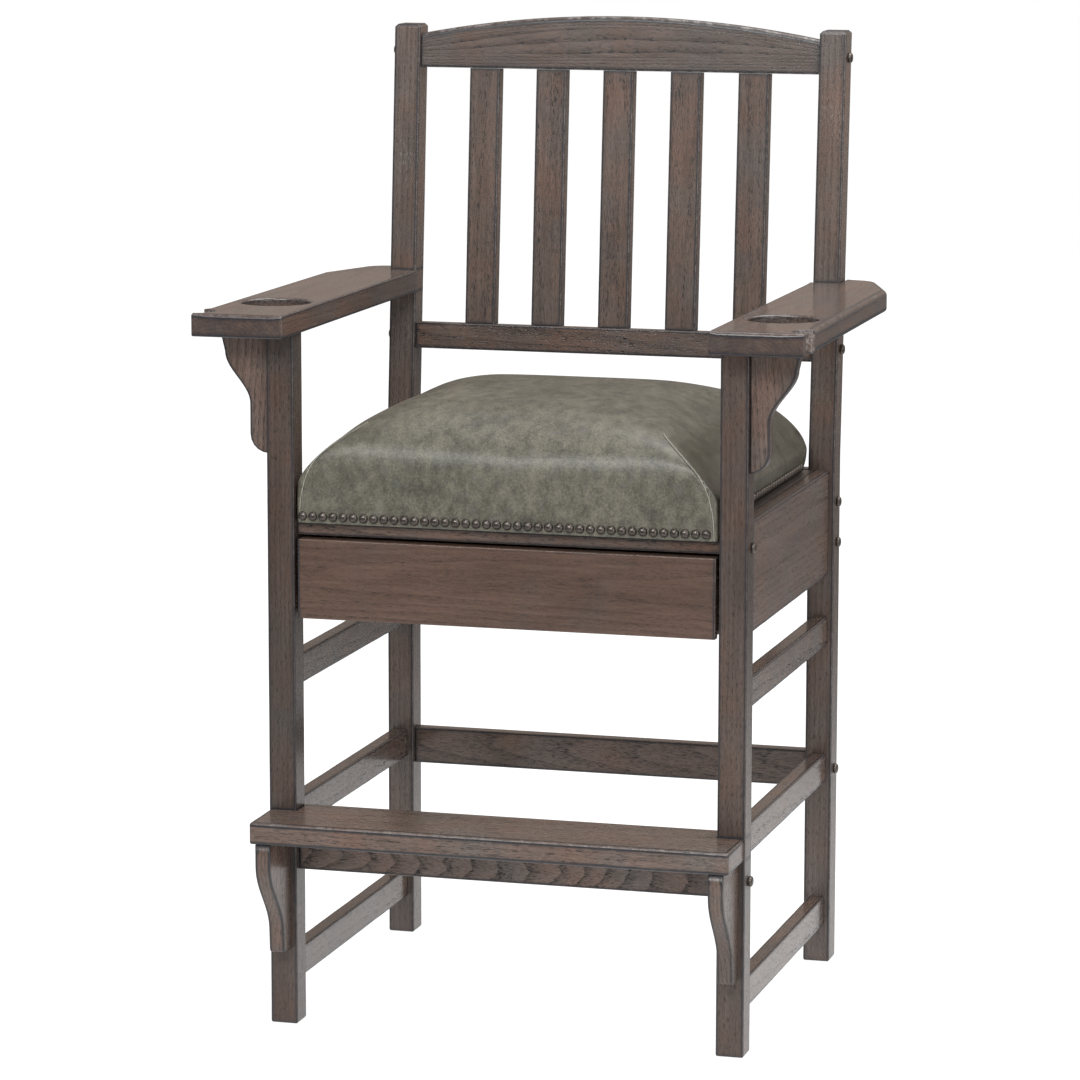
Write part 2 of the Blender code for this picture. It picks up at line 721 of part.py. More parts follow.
def make_seat_cleats(wood, chair):
    """Rabbeted rails inside the side panels: the deck lies on the ledge, between the lips."""
    outer = PANEL_INNER - FIT
    section = [
        (outer, FRONT_RAIL_BOTTOM),
        (outer, SEAT_BOX_TOP),
        (LIP_INNER, SEAT_BOX_TOP),
        (LIP_INNER, FRONT_RAIL_TOP),
        (CLEAT_INNER, FRONT_RAIL_TOP),
        (CLEAT_INNER, FRONT_RAIL_BOTTOM),
    ]
    for side, name in SIDES:
        outline = [(side * x, z) for x, z in section]
        shape, middle = prism_shape(outline, "XZ", (LEG_DEPTH + FIT, POST_Y - FIT))
        add_piece("seat_cleat_" + name, shape, wood, chair, middle)


def make_corner_blocks(wood, chair):
    """Three-cornered blocks with blunt tips, which tie the rails together under the deck."""
    inner = CLEAT_INNER - FIT
    corners = (("front", LEG_DEPTH + FIT, 1), ("back", BACK_PANEL_Y - FIT, -1))
    for side, name in SIDES:
        for place, y, inward in corners:
            outline = [
                (side * inner, y),
                (side * (inner - BLOCK_SIZE), y),
                (side * (inner - BLOCK_SIZE), y + inward * BLOCK_NOSE),
                (side * (inner - BLOCK_NOSE), y + inward * BLOCK_SIZE),
                (side * inner, y + inward * BLOCK_SIZE),
            ]
            shape, middle = prism_shape(outline, "XY", (FRONT_RAIL_BOTTOM, FRONT_RAIL_TOP))
            add_piece(f"corner_block_{place}_{name}", shape, wood, chair, middle)


def make_seat_deck(ply, chair):
    board(
        "seat_deck",
        (FIT - LIP_INNER, LIP_INNER - FIT),
        (SKIRT_SETBACK + SKIRT_THICKNESS + FIT, BACK_PANEL_Y - FIT),
        (DECK_BOTTOM, SEAT_BOX_TOP),
        ply,
        chair,
        HIDDEN_EASE,
    )


# Upholstered seat


def crown_share(u, v):
    """Height of the cushion's top as a share of its crown, at shares of its half width and half
    depth: the lower of two rounded profiles, one across and one along, blended on the diagonals."""
    across = max(1 - abs(u) ** CROWN_ACROSS_POWER, 0)
    along = max(1 - abs(v) ** CROWN_ALONG_POWER, 0) ** CROWN_ALONG_ROUND
    if min(across, along) <= 0:
        return 0
    return (across**-CROWN_MITRE + along**-CROWN_MITRE - 1) ** (-1 / CROWN_MITRE)


def rounded_rectangle(half_width, half_depth, radius):
    """Points round a rectangle with round corners, counter-clockwise, as many on each side."""
    bends = []
    for corner, (sx, sy) in enumerate(((1, -1), (1, 1), (-1, 1), (-1, -1))):
        centre = (sx * (half_width - radius), sy * (half_depth - radius))
        bends.append(arc(centre, radius, 90 * corner - 90, 90 * corner, CUSHION_CORNER_STEPS))
    ring = []
    for bend, ahead in zip(bends, bends[1:] + bends[:1]):
        ring += bend
        for i in range(1, CUSHION_EDGE_STEPS):
            share = i / CUSHION_EDGE_STEPS
            ring.append(tuple(a + (b - a) * share for a, b in zip(bend[-1], ahead[0])))
    return ring


def squeeze(behind_front):
    """How much of the side's swell is held back: all of it between the front legs, and less and
    less of it behind them."""
    return max(0, 1 - max(0, behind_front - LEG_DEPTH) / SQUEEZE_LENGTH) ** 2


def cushion_shape(half_width, half_depth):
    """Rings from the drawn-in bottom, up the sides and in over the crown."""
    outline = rounded_rectangle(half_width, half_depth, CUSHION_CORNER)
    units = [(x / half_width, y / half_depth) for x, y in outline]
    held = CUSHION_SWELL + CUSHION_LEG_GAP
    levels = [(1, CUSHION_DRAW * draw, height) for height, draw in WALL_SHARES]
    levels += [(1 - inset, 0, 1) for inset in RING_SHARES]
    shape = bmesh.new()
    rings = []
    for scale, draw, height in levels:
        ring = []
        for u, v in units:
            u, v = u * scale, v * scale
            x = u * (half_width - max(draw, held * squeeze((v + 1) * half_depth)))
            y = v * half_depth - draw * (v + 1) / 2
            z = CUSHION_WALL * height + CUSHION_CROWN * (crown_share(u, v) if draw == 0 else 0)
            ring.append(shape.verts.new((x, y, z)))
        rings.append(ring)
    count = len(units)
    for lower, upper in zip(rings, rings[1:]):
        for i in range(count):
            j = (i + 1) % count
            shape.faces.new((lower[i], lower[j], upper[j], upper[i]))
    crown = shape.verts.new((0, 0, CUSHION_WALL + CUSHION_CROWN))
    for i in range(count):
        shape.faces.new((rings[-1][i], rings[-1][(i + 1) % count], crown))
    shape.faces.new(rings[0][::-1])
    return shape


def make_cushion(leather, chair):
    """The crowned seat, whose cover comes down over the front edge of the deck."""
    half_width = LEG_INNER + CUSHION_SWELL
    half_depth = (POST_Y - CUSHION_POST_GAP) / 2
    base = SEAT_BOX_TOP + FIT
    shape = cushion_shape(half_width, half_depth)
    cushion = add_piece("seat_cushion", shape, leather, chair, (0, half_depth, base))
    reach = half_width - CUSHION_DRAW
    skirt, middle = box_shape(
        (-reach, reach),
        (SKIRT_SETBACK, SKIRT_SETBACK + SKIRT_THICKNESS),
        (DECK_BOTTOM - FIT, base + SKIRT_OVERLAP),
    )
    band = add_piece("cutter_skirt", skirt, leather, chair, middle)
    band.hide_render = True
    band.display_type = "WIRE"
    modifier = cushion.modifiers.new("skirt", "BOOLEAN")
    modifier.operation = "UNION"
    modifier.object = band
    return cushion


# Drawer


def make_drawer_front(wood, slide):
    """A plain board with a finger cove along the bottom of its back."""
    back = DRAWER_FRONT_THICKNESS
    cove = arc((back, DRAWER_FRONT_BOTTOM), FINGER_COVE, 180, 90, SOFT_STEPS)
    outline = [(0, DRAWER_FRONT_BOTTOM)] + cove + [(back, DRAWER_FRONT_TOP), (0, DRAWER_FRONT_TOP)]
    half = LEG_INNER - DRAWER_GAP
    shape, middle = prism_shape(outline, "YZ", (-half, half))
    face = -DRAWER_FRONT_THICKNESS / 2 + FIT
    ease_edges(shape, EASE, 2, lambda e: all(v.co.y < face for v in e.verts))
    add_piece("drawer_front", shape, wood, slide, middle)


def make_drawer_sides(pale, slide):
    for side, name in SIDES:
        wall = board(
            "drawer_side_" + name,
            outward(side, DRAWER_HALF - DRAWER_WALL, DRAWER_HALF),
            (DRAWER_BOX_FRONT, DRAWER_BOX_BACK),
            (DRAWER_BOX_BOTTOM, DRAWER_BOX_TOP),
            pale,
            slide,
            HIDDEN_EASE,
        )
        inner = DRAWER_HALF - DRAWER_WALL
        cut_box(
            wall,
            outward(side, inner - OVERRUN, inner + GROOVE_DEPTH),
            (DRAWER_BOX_FRONT - OVERRUN, DRAWER_BOX_BACK + OVERRUN),
            (DRAWER_FLOOR_Z - FIT, DRAWER_FLOOR_TOP + FIT),
            slide,
        )


def make_drawer_back_and_bottom(pale, slide):
    inner = DRAWER_HALF - DRAWER_WALL - FIT
    board(
        "drawer_back",
        (-inner, inner),
        (DRAWER_BOX_BACK - DRAWER_WALL, DRAWER_BOX_BACK),
        (DRAWER_FLOOR_TOP + FIT, DRAWER_BOX_TOP),
        pale,
        slide,
        HIDDEN_EASE,
    )
    reach = DRAWER_HALF - DRAWER_WALL + GROOVE_DEPTH - FIT
    board(
        "drawer_bottom",
        (-reach, reach),
        (DRAWER_BOX_FRONT, DRAWER_BOX_BACK),
        (DRAWER_FLOOR_Z, DRAWER_FLOOR_TOP),
        pale,
        slide,
        HIDDEN_EASE,
    )


def make_drawer_runners(wood, chair):
    """A ledge under each drawer side and a guide beside it, in one piece."""
    outer = PANEL_INNER - FIT
    guide = outer - GUIDE_THICKNESS
    ledge = SEAT_BOX_BOTTOM + RUNNER_THICKNESS
    section = [
        (outer, SEAT_BOX_BOTTOM),
        (outer, ledge + GUIDE_HEIGHT),
        (guide, ledge + GUIDE_HEIGHT),
        (guide, ledge),
        (guide - RUNNER_LEDGE, ledge),
        (guide - RUNNER_LEDGE, SEAT_BOX_BOTTOM),
    ]
    for side, name in SIDES:
        outline = [(side * x, z) for x, z in section]
        shape, middle = prism_shape(outline, "XZ", (LEG_DEPTH + FIT, POST_Y - FIT))
        add_piece("drawer_runner_" + name, shape, wood, chair, middle)


def make_drawer_stop(wood, chair):
    """A block under the deck that the drawer's back comes up against when it is fully open."""
    back = DRAWER_BOX_BACK - DRAWER_WALL - DRAWER_TRAVEL - FIT
    board(
        "drawer_stop",
        (-STOP_WIDTH / 2, STOP_WIDTH / 2),
        (back - STOP_DEPTH, back),
        (DRAWER_BOX_TOP - STOP_OVERLAP, DECK_BOTTOM - FIT),
        wood,
        chair,
        HIDDEN_EASE,
    )


# Bolts


def bolt_shape(radius_gain, bite):
    """A dome head and a plain shank along Z, the head's flat at zero; the same shape, grown, bores its hole."""
    shank = BOLT_RADIUS + radius_gain
    return turned_shape([(0, -bite), (shank, -bite), (shank, OVERRUN), (0, OVERRUN)], BOLT_SIDES)


def dome_bolt_shape(length):
    dome = []
    for i in range(DOME_STEPS):
        turn = math.pi / 2 * i / DOME_STEPS
        dome.append((BOLT_HEAD_RADIUS * math.cos(turn), BOLT_HEAD_HEIGHT * math.sin(turn)))
    profile = [(0, -length), (BOLT_RADIUS, -length), (BOLT_RADIUS, 0)] + dome + [(0, BOLT_HEAD_HEIGHT)]
    return turned_shape(profile, BOLT_SIDES)


def fit_bolts(metal, name, y, z, uprights, cross_piece, parent):
    """A bolt from each side through a leg or post into the end of a cross piece."""
    length = LEG_WIDTH + BOLT_BITE
    for side, side_name in SIDES:
        turn = (0, side * math.pi / 2, 0)
        seat = (side * (HALF_WIDTH + FIT), y, z)
        bolt = add_piece(f"bolt_{name}_{side_name}", dome_bolt_shape(length), metal, parent, seat)
        bolt.rotation_euler = turn
        bore = length + FIT
        for piece in (uprights[side], cross_piece):
            cut(piece, bolt_shape(FIT, bore), seat, parent, turn)


def main():
    for old in list(bpy.data.objects):
        bpy.data.objects.remove(old, do_unlink=True)

    wood = finish("brown oak", (0.10, 0.068, 0.052), 0.42)
    inner_wood = finish("inner hardwood", (0.16, 0.11, 0.08), 0.6)
    pale = finish("drawer birch", (0.45, 0.33, 0.21), 0.55)
    ply = finish("seat plywood", (0.42, 0.31, 0.19), 0.7)
    leather = finish("olive leather", (0.16, 0.15, 0.11), 0.45)
    metal = finish("dark bronze", (0.06, 0.045, 0.04), 0.35, 0.9)

    chair = frame_empty("chair", (0, -MIDDLE_Y, 0))
    leaning = frame_empty("leaning_back", (0, POST_Y, KNEE_HEIGHT), chair)
    leaning.rotation_euler.x = -math.atan(RAKE_SHARE)
    slide = frame_empty("drawer_slide", (0, 0, 0), chair)

    legs = make_front_legs(wood, chair)
    posts = make_back_posts(wood, chair)
    make_side_rails(wood, chair, legs, posts)
    stretcher = make_back_stretcher(wood, chair)

    crest, lower_back = make_back_rails(wood, leaning)
    make_slats(wood, leaning, crest, lower_back)

    make_arms(wood, chair)
    make_corbels(wood, chair)

    make_foot_board(wood, chair)
    make_foot_brackets(wood, chair)
    apron = make_foot_apron(wood, chair)

    make_side_panels(wood, chair)
    front_rail, back_panel = make_seat_rails(wood, chair)
    make_seat_cleats(inner_wood, chair)
    make_corner_blocks(inner_wood, chair)
    make_seat_deck(ply, chair)
    make_cushion(leather, chair)

    make_drawer_front(wood, slide)
    make_drawer_sides(pale, slide)
    make_drawer_back_and_bottom(pale, slide)
    make_drawer_runners(inner_wood, chair)
    make_drawer_stop(inner_wood, chair)

    crest_z = CREST_UP + CREST_END_HEIGHT / 2
    lower_z = LOWER_BACK_UP + LOWER_BACK_HEIGHT / 2
    pair_z = SEAT_BOX_TOP - BACK_BOLT_DROP
    front_y = LEG_DEPTH - FRONT_RAIL_DEPTH / 2
    front_z = FRONT_RAIL_BOTTOM + FRONT_RAIL_HEIGHT / 2
    apron_y = APRON_SETBACK + APRON_THICKNESS / 2
    apron_z = FOOT_UNDERSIDE - APRON_HEIGHT + APRON_BOLT_RISE
    fit_bolts(metal, "crest", BACK_CENTRE, crest_z, posts, crest, leaning)
    fit_bolts(metal, "lower_back", BACK_CENTRE, lower_z, posts, lower_back, leaning)
    fit_bolts(metal, "seat_upper", POST_CENTRE_Y, pair_z + BACK_BOLT_SPREAD / 2, posts, back_panel, chair)
    fit_bolts(metal, "seat_lower", POST_CENTRE_Y, pair_z - BACK_BOLT_SPREAD / 2, posts, back_panel, chair)
    fit_bolts(metal, "stretcher", POST_CENTRE_Y, STRETCHER_Z + STRETCHER_HEIGHT / 2, posts, stretcher, chair)
    fit_bolts(metal, "seat_front", front_y, front_z, legs, front_rail, chair)
    fit_bolts(metal, "foot_apron", apron_y, apron_z, legs, apron, chair)


main()
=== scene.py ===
# %% [markdown]
# # A bar-height armchair in stained oak and olive leather
# The packed model gives every piece its place and size. This lesson dresses it: the oak boards get
# worn, rounded edges, the seat becomes a stuffed leather cushion with a row of nails, and all of
# it gets finishes made of nodes. Lengths are in millimetres in the chair's own frame: x is zero in
# the middle, y is zero on the front of the front legs and grows towards the back, and z is zero on
# the floor. One helper turns them into metres in the model's frame.

# %% Load the packed model
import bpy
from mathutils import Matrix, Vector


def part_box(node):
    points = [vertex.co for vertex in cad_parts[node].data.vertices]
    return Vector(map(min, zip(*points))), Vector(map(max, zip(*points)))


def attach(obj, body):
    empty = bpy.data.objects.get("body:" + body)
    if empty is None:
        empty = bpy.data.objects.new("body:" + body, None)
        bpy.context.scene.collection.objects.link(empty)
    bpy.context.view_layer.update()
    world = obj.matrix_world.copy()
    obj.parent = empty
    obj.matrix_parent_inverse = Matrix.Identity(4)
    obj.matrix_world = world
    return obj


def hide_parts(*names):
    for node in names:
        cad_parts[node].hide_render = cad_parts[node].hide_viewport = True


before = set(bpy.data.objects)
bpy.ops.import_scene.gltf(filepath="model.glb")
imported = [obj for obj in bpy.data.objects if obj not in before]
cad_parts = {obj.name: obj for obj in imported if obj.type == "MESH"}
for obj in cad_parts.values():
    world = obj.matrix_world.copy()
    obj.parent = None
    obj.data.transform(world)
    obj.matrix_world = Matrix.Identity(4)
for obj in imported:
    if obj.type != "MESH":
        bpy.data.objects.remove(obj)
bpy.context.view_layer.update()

import math

import bmesh
import bpy
import numpy as np
from mathutils import Matrix, Vector
from mathutils.bvhtree import BVHTree

MM = 0.001
front_of_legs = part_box("front_leg_left")[0].y / MM

# %% [markdown]
# ## The camera
# A photograph is matched by a camera that stands where the photographer stood. Its place, its
# three angles and its focal length were fitted to the edges of the legs, arms and rails. It could
# be aimed with a constraint, but a matrix worked out from the angles is exact and needs nothing
# else in the scene.

# %% Set up the camera
YAW, PITCH, ROLL = (math.radians(angle) for angle in (15.830613, -9.378902, 0.074426))
CAMERA_PLACE = Vector((1536.714, -5262.032 + front_of_legs, 1518.414)) * MM
FOCAL_SHARE = 4677.6604 / 1080  # focal length as a share of the frame's width

ahead = Vector((-math.sin(YAW) * math.cos(PITCH), math.cos(YAW) * math.cos(PITCH), math.sin(PITCH)))
level = Vector((math.cos(YAW), math.sin(YAW), 0))
upward = level.cross(ahead)
rightward = level * math.cos(ROLL) + upward * math.sin(ROLL)
upward = upward * math.cos(ROLL) - level * math.sin(ROLL)

camera_data = bpy.data.cameras.new("camera")
camera_data.sensor_width = 36
camera_data.lens = 36 * FOCAL_SHARE
camera_data.clip_end = 60
camera = bpy.data.objects.new("camera", camera_data)
turn = Matrix((rightward, upward, -ahead)).transposed().to_4x4()
camera.matrix_world = Matrix.Translation(CAMERA_PLACE) @ turn
bpy.context.collection.objects.link(camera)
bpy.context.scene.camera = camera
print("lens", round(camera_data.lens, 1), "mm")

# %% [markdown]
# ## Shader maths as Python
# A finish made of nodes is a drawing that grows fast. One small class holds a socket and turns
# `+`, `*` or `1 - mask` into Math nodes, so that a pattern reads as a formula. Every other node
# comes from one method of the drawing, which takes the node's type, its settings and its inputs.
# A finish is a drawing with a shader, and the world's light is a drawing too.


# %% Wrap a socket and a node tree
def operator_method(operation, reflected=False):
    """A method that turns an operator into a Math node; reflected swaps its two values."""

    def method(self, other):
        return self.maths(operation, *((other, self) if reflected else (self, other)))

    return method


class Wire:
    """A number that comes out of a node."""

    __add__ = __radd__ = operator_method("ADD")
    __mul__ = __rmul__ = operator_method("MULTIPLY")
    __sub__, __rsub__ = operator_method("SUBTRACT"), operator_method("SUBTRACT", reflected=True)
    __truediv__, __rtruediv__ = operator_method("DIVIDE"), operator_method("DIVIDE", reflected=True)
    __pow__ = operator_method("POWER")

    def __init__(self, drawing, socket):
        self.drawing, self.socket = drawing, socket

    def maths(self, operation, *values, clamp=False):
        settings = {"operation": operation, "use_clamp": clamp}
        return self.drawing.node("Math", settings, dict(enumerate(values)))

    def __abs__(self):
        return self.maths("ABSOLUTE", self)

    def fraction(self):
        return self.maths("FRACT", self)

    def clamp(self):
        return self.maths("ADD", self, 0, clamp=True)

    def ramp(self, start, end):
        """0 at start, 1 at end and smooth between them; start may be the larger."""
        if start > end:
            return 1 - self.ramp(end, start)
        settings = {"interpolation_type": "SMOOTHSTEP"}
        return self.drawing.node("MapRange", settings, {0: self, 1: start, 2: end})


class Drawing:
    """A node tree that is drawn on."""

    def __init__(self, tree):
        self.tree = tree

    def link(self, value, socket):
        """Link a wire to a socket, or set a plain value there."""
        if isinstance(value, Wire):
            self.tree.links.new(value.socket, socket)
        else:
            socket.default_value = value

    def node(self, kind, settings=None, sockets=None, out=0):
        """Any node: its settings first, then a value or a wire for each socket."""
        made = self.tree.nodes.new("ShaderNode" + kind)
        for setting, value in (settings or {}).items():
            setattr(made, setting, value)
        for socket, value in (sockets or {}).items():
            self.link(value, made.inputs[socket])
        return Wire(self, made.outputs[out])

    def split(self, vector):
        """The three numbers of a vector."""
        outputs = self.node("SeparateXYZ", None, {0: vector}).socket.node.outputs
        return [Wire(self, out) for out in outputs]

    def rays(self):
        """1 for a ray that the camera sends, and 1 for a ray that a shiny surface mirrors."""
        outputs = self.node("LightPath").socket.node.outputs
        return Wire(self, outputs["Is Camera Ray"]), Wire(self, outputs["Is Glossy Ray"])

    def mark(self, name, out="Fac"):
        return self.node("Attribute", {"attribute_name": name}, out=out)

    def scaled(self, vector, across, through, along):
        sockets = {0: vector, 1: (across, through, along)}
        return self.node("VectorMath", {"operation": "MULTIPLY"}, sockets)

    def noise(self, vector, scale, detail=2.0, rough=0.5):
        sockets = {"Vector": vector, "Scale": scale, "Detail": detail, "Roughness": rough}
        return self.node("TexNoise", None, sockets)

    def drawn_out(self, vector, across, along, detail=1.0, rough=0.5):
        """Noise that is stretched along the third axis."""
        return self.noise(self.scaled(vector, across, across, along), 1.0, detail, rough)

    def mix(self, share, first, second, blend="MIX"):
        """Two colours mixed; each is a wire or three numbers."""
        first, second = (c if isinstance(c, Wire) else (*c, 1) for c in (first, second))
        settings = {"data_type": "RGBA", "blend_type": blend}
        return self.node("Mix", settings, {0: share, 6: first, 7: second}, out=2)


class Finish(Drawing):
    """A material under construction. Values and wires go to its shader's sockets by their names."""

    def __init__(self, name, **sockets):
        self.material = bpy.data.materials.new(name)
        self.material.use_nodes = True
        super().__init__(self.material.node_tree)
        self.shader = self.tree.nodes["Principled BSDF"]
        self.put(**sockets)

    def put(self, **sockets):
        for socket, value in sockets.items():
            self.link(value, self.shader.inputs[socket.replace("_", " ")])

    def finished(self, colour, roughness, height, depth, strength):
        """The material with a colour, a roughness and a bump that is depth millimetres deep."""
        sockets = {"Height": height, "Distance": depth * MM, "Strength": strength}
        self.put(Base_Color=colour, Roughness=roughness, Normal=self.node("Bump", None, sockets))
        return self.material


print("a wire adds:", [name for name in vars(Wire) if name.startswith("__r")])

# %% [markdown]
# ## From numbers to a piece
# Each new piece is a grid of points worked out with numpy. Blender needs four-cornered faces
# between neighbouring points, and a name, a body to ride on and the packed pieces that it stands
# for. Doubled points are merged and the faces are turned outwards, because an arc that shrinks to
# nothing at a sharp end would otherwise leave slivers. A face with hundreds of corners is cut into
# triangles, because smoothing it takes a minute.


# %% Make a mesh piece
def grid_faces(rings, count):
    """Four-cornered faces between neighbouring rings of points."""
    ring = np.arange(rings - 1)[:, None] * count
    here = np.arange(count)[None]
    ahead = (here + 1) % count
    corners = [ring + here, ring + ahead, ring + count + ahead, ring + count + here]
    return np.stack(corners, -1).reshape(-1, 4).tolist()


def tube_faces(rings, count):
    """The same, with a face over the first ring and one over the last."""
    last = (rings - 1) * count
    return grid_faces(rings, count) + [list(range(count)), list(range(last, last + count))]


def put(name, points, faces, finish, stands_for=None, body="frame", slot="brown_oak", **marks):
    """A piece from points in the chair's frame, which takes the place of a packed node. Marks are
    numbers or vectors kept at its points."""
    mesh = bpy.data.meshes.new(name)
    mesh.from_pydata(((points.reshape(-1, 3) + (0, front_of_legs, 0)) * MM).tolist(), [], faces)
    for mark, values in marks.items():
        vector = values.size == points.size
        layer = mesh.attributes.new(mark, "FLOAT_VECTOR" if vector else "FLOAT", "POINT")
        layer.data.foreach_set("vector" if vector else "value", values.ravel())
    shape = bmesh.new()
    shape.from_mesh(mesh)
    bmesh.ops.remove_doubles(shape, verts=shape.verts, dist=0.01 * MM)
    bmesh.ops.triangulate(shape, faces=[face for face in shape.faces if len(face.verts) > 200])
    bmesh.ops.recalc_face_normals(shape, faces=shape.faces)
    shape.to_mesh(mesh)
    shape.free()
    mesh.shade_smooth()
    piece = bpy.data.objects.new(name, mesh)
    mesh.materials.append(finish)
    bpy.context.collection.objects.link(piece)
    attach(piece, body)
    if stands_for:
        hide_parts(stands_for)
        low, high = np.array(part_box(stands_for))
        own = np.empty(3 * len(mesh.vertices))
        mesh.vertices.foreach_get("co", own)
        own = own.reshape(-1, 3)
        past = max((low - own.min(0)).max(), (own.max(0) - high).max()) / MM
        print(f"{name}: {len(mesh.polygons)} faces, {past:.1f} mm past its solid")
    return piece


# %% [markdown]
# ## A board with worn edges
# Almost every piece of the chair is a planed oak board. On the real chair its edges are rounded
# by hand, its stain is worn off on the corners, and a dark glaze stays beside them. A cube with
# a Bevel modifier would give the rounding. Here the section is an outline with an arc at each
# corner, carried along the board, because the same numbers can then also say how far each point
# is from an edge and how much it is worn, and the finish reads these marks. The finish also uses
# the rub mark to paint a highlight on the rounded edges.

# %% The section of a board
FADE = np.array([0.8, 2.5, 5.0, 10.0])  # distances from an edge at which the glaze is marked


def between(length):
    """Distances along a flat, close together near its two ends, where the glaze fades."""
    near = FADE[FADE < length / 2 - 0.3]
    return np.concatenate([near, [length / 2], length - near[::-1]])


def board_section(across, through, radii, steps=5):
    """Round a rectangle: on each corner an arc, middle + radius * (cos t, sin t), and then points
    along the flat. Gives points, ways out, distances to a corner, shares of rub, corner numbers."""
    (a0, a1), (b0, b1) = across, through
    corner = np.array([(a1, b1), (a0, b1), (a0, b0), (a1, b0)], float)
    inward = np.array([(-1, -1), (1, -1), (1, 1), (-1, 1)], float)
    rows = []
    for k in range(4):
        turn = np.radians(90 * k + np.linspace(0, 90, steps + 1))
        out = np.stack([np.cos(turn), np.sin(turn)], 1)
        bend = corner[k] + radii[k] * inward[k] + radii[k] * out
        ahead = (k + 1) % 4
        start, end = bend[-1], corner[ahead] + radii[ahead] * (inward[ahead] + out[-1])
        length = np.linalg.norm(end - start)
        away = between(length)
        flat = start + (end - start) * (away / length)[:, None]
        rub = np.sin(np.linspace(0, np.pi, steps + 1))
        rows.append((bend, out, np.zeros(steps + 1), rub, np.full(steps + 1, k)))
        flat_out = np.repeat(out[-1:], len(away), 0)
        distance = np.minimum(away, length - away)
        rows.append((flat, flat_out, distance, np.zeros(len(away)), np.full(len(away), k)))
    return [np.concatenate(column) for column in zip(*rows)]


def stations(start, end, rounding, joints=(), step=25.0):
    """Places along a board and how far its section is drawn in there: quarter-round ends, inset
    r * (1 - cos t) at r * (1 - sin t) from the end, and places near its ends and its joints."""
    turn = np.radians(np.linspace(90, 0, 4))
    low, high = rounding
    inner = np.concatenate([
        start + low + FADE,
        end - high - FADE,
        np.arange(start + low + 20, end - high - 15, step),
        *[np.concatenate([joint - FADE, [joint], joint + FADE]) for joint in joints],
    ])
    inner = np.unique(np.round(inner[(inner > start + low + 0.3) & (inner < end - high - 0.3)], 1))
    first, last = start + low * (1 - np.sin(turn)), end - high * (1 - np.sin(turn[::-1]))
    places = np.concatenate([first, inner, last])
    insets = np.concatenate([low * (1 - np.cos(turn)), inner * 0, high * (1 - np.cos(turn[::-1]))])
    return places, insets


# %% Carry the section along the board
dice = np.random.default_rng(20)


def lay(grid, order):
    """Turn (across, through, along) into (x, y, z); order names the axis of each."""
    laid = np.empty_like(grid)
    laid[..., ["xyz".index(axis) for axis in order]] = grid
    return laid


def heartwood(grid, pith, tilt):
    """Where each point lies in the log that the board was sawn from: the pith is the line where
    the first two numbers are zero, and it leans by tilt towards the board's face."""
    flat = grid.reshape(-1, 3)
    across, through, along = np.moveaxis(grid - (flat.min(0) + flat.max(0)) / 2, -1, 0)
    start = dice.uniform(-4000, 4000)
    log = [across - pith[0], through - pith[1] + tilt * along, along + start]
    return np.stack(log, -1) * MM


def board(name, order, across, through, along, finish, radius=1.5, ends=(0.6, 0.6), joints=(),
          pith=(8, -70), tilt=0.0, wear=0.25, bend=None, shape=None):
    """The section carried along a straight line, drawn in at the ends, worn at its corners, laid
    along its axes and then bent. shape may give other places and insets than stations does."""
    radii = [radius] * 4 if np.isscalar(radius) else radius
    outline, out, distance, rub, corner = board_section(across, through, radii)
    places, insets = shape if shape else stations(*along, ends, joints)
    worn = wear * dice.random((len(places), 4)) ** 2 * np.clip(1 - insets, 0, 1)[:, None]
    inset = insets[:, None] + worn[:, corner] * rub
    ring = outline[None] - inset[..., None] * out[None]
    low = np.array([across[0], through[0]]) + insets[:, None]
    high = np.array([across[1], through[1]]) - insets[:, None]
    ring = np.clip(ring, low[:, None], high[:, None])
    grid = np.concatenate([ring, np.broadcast_to(places[:, None, None], ring.shape[:2] + (1,))], -1)
    from_end = np.minimum(places - places[0], places[-1] - places)
    edge = np.minimum(distance[None], 0.6 * from_end[:, None])
    # Near each joint the edge mark is small too, so the colour also darkens in a band round it.
    for joint in joints:
        edge = np.minimum(edge, 0.7 * np.abs(places - joint)[:, None])
    # The rub share also sets where the finish paints a highlight on the rounded corners.
    rub_and_highlight = np.broadcast_to(rub[None], edge.shape)
    wood = heartwood(grid, pith, tilt)
    laid = lay(grid, order)
    laid = bend(laid) if bend else laid
    faces = tube_faces(len(places), len(outline))
    put("oak_" + name, laid, faces, finish, name, edge=edge, rub=rub_and_highlight * 1.0, wood=wood)


print("fade marks at", FADE.tolist(), "mm from an edge")

# %% [markdown]
# ## Scrolled and flat shapes
# The arms, their corbels, the foot board and its brackets are sawn from a plank to an outline, and
# their edges are then rounded with a router. They could be a flat face with Solidify and Bevel,
# but Bevel gives every edge one width, and on the arm the inner edge is crisp while the outer
# one is round. So the outline's points carry their own rounding, and each ring of the mesh is the
# outline drawn in along its mitres by a share of it.

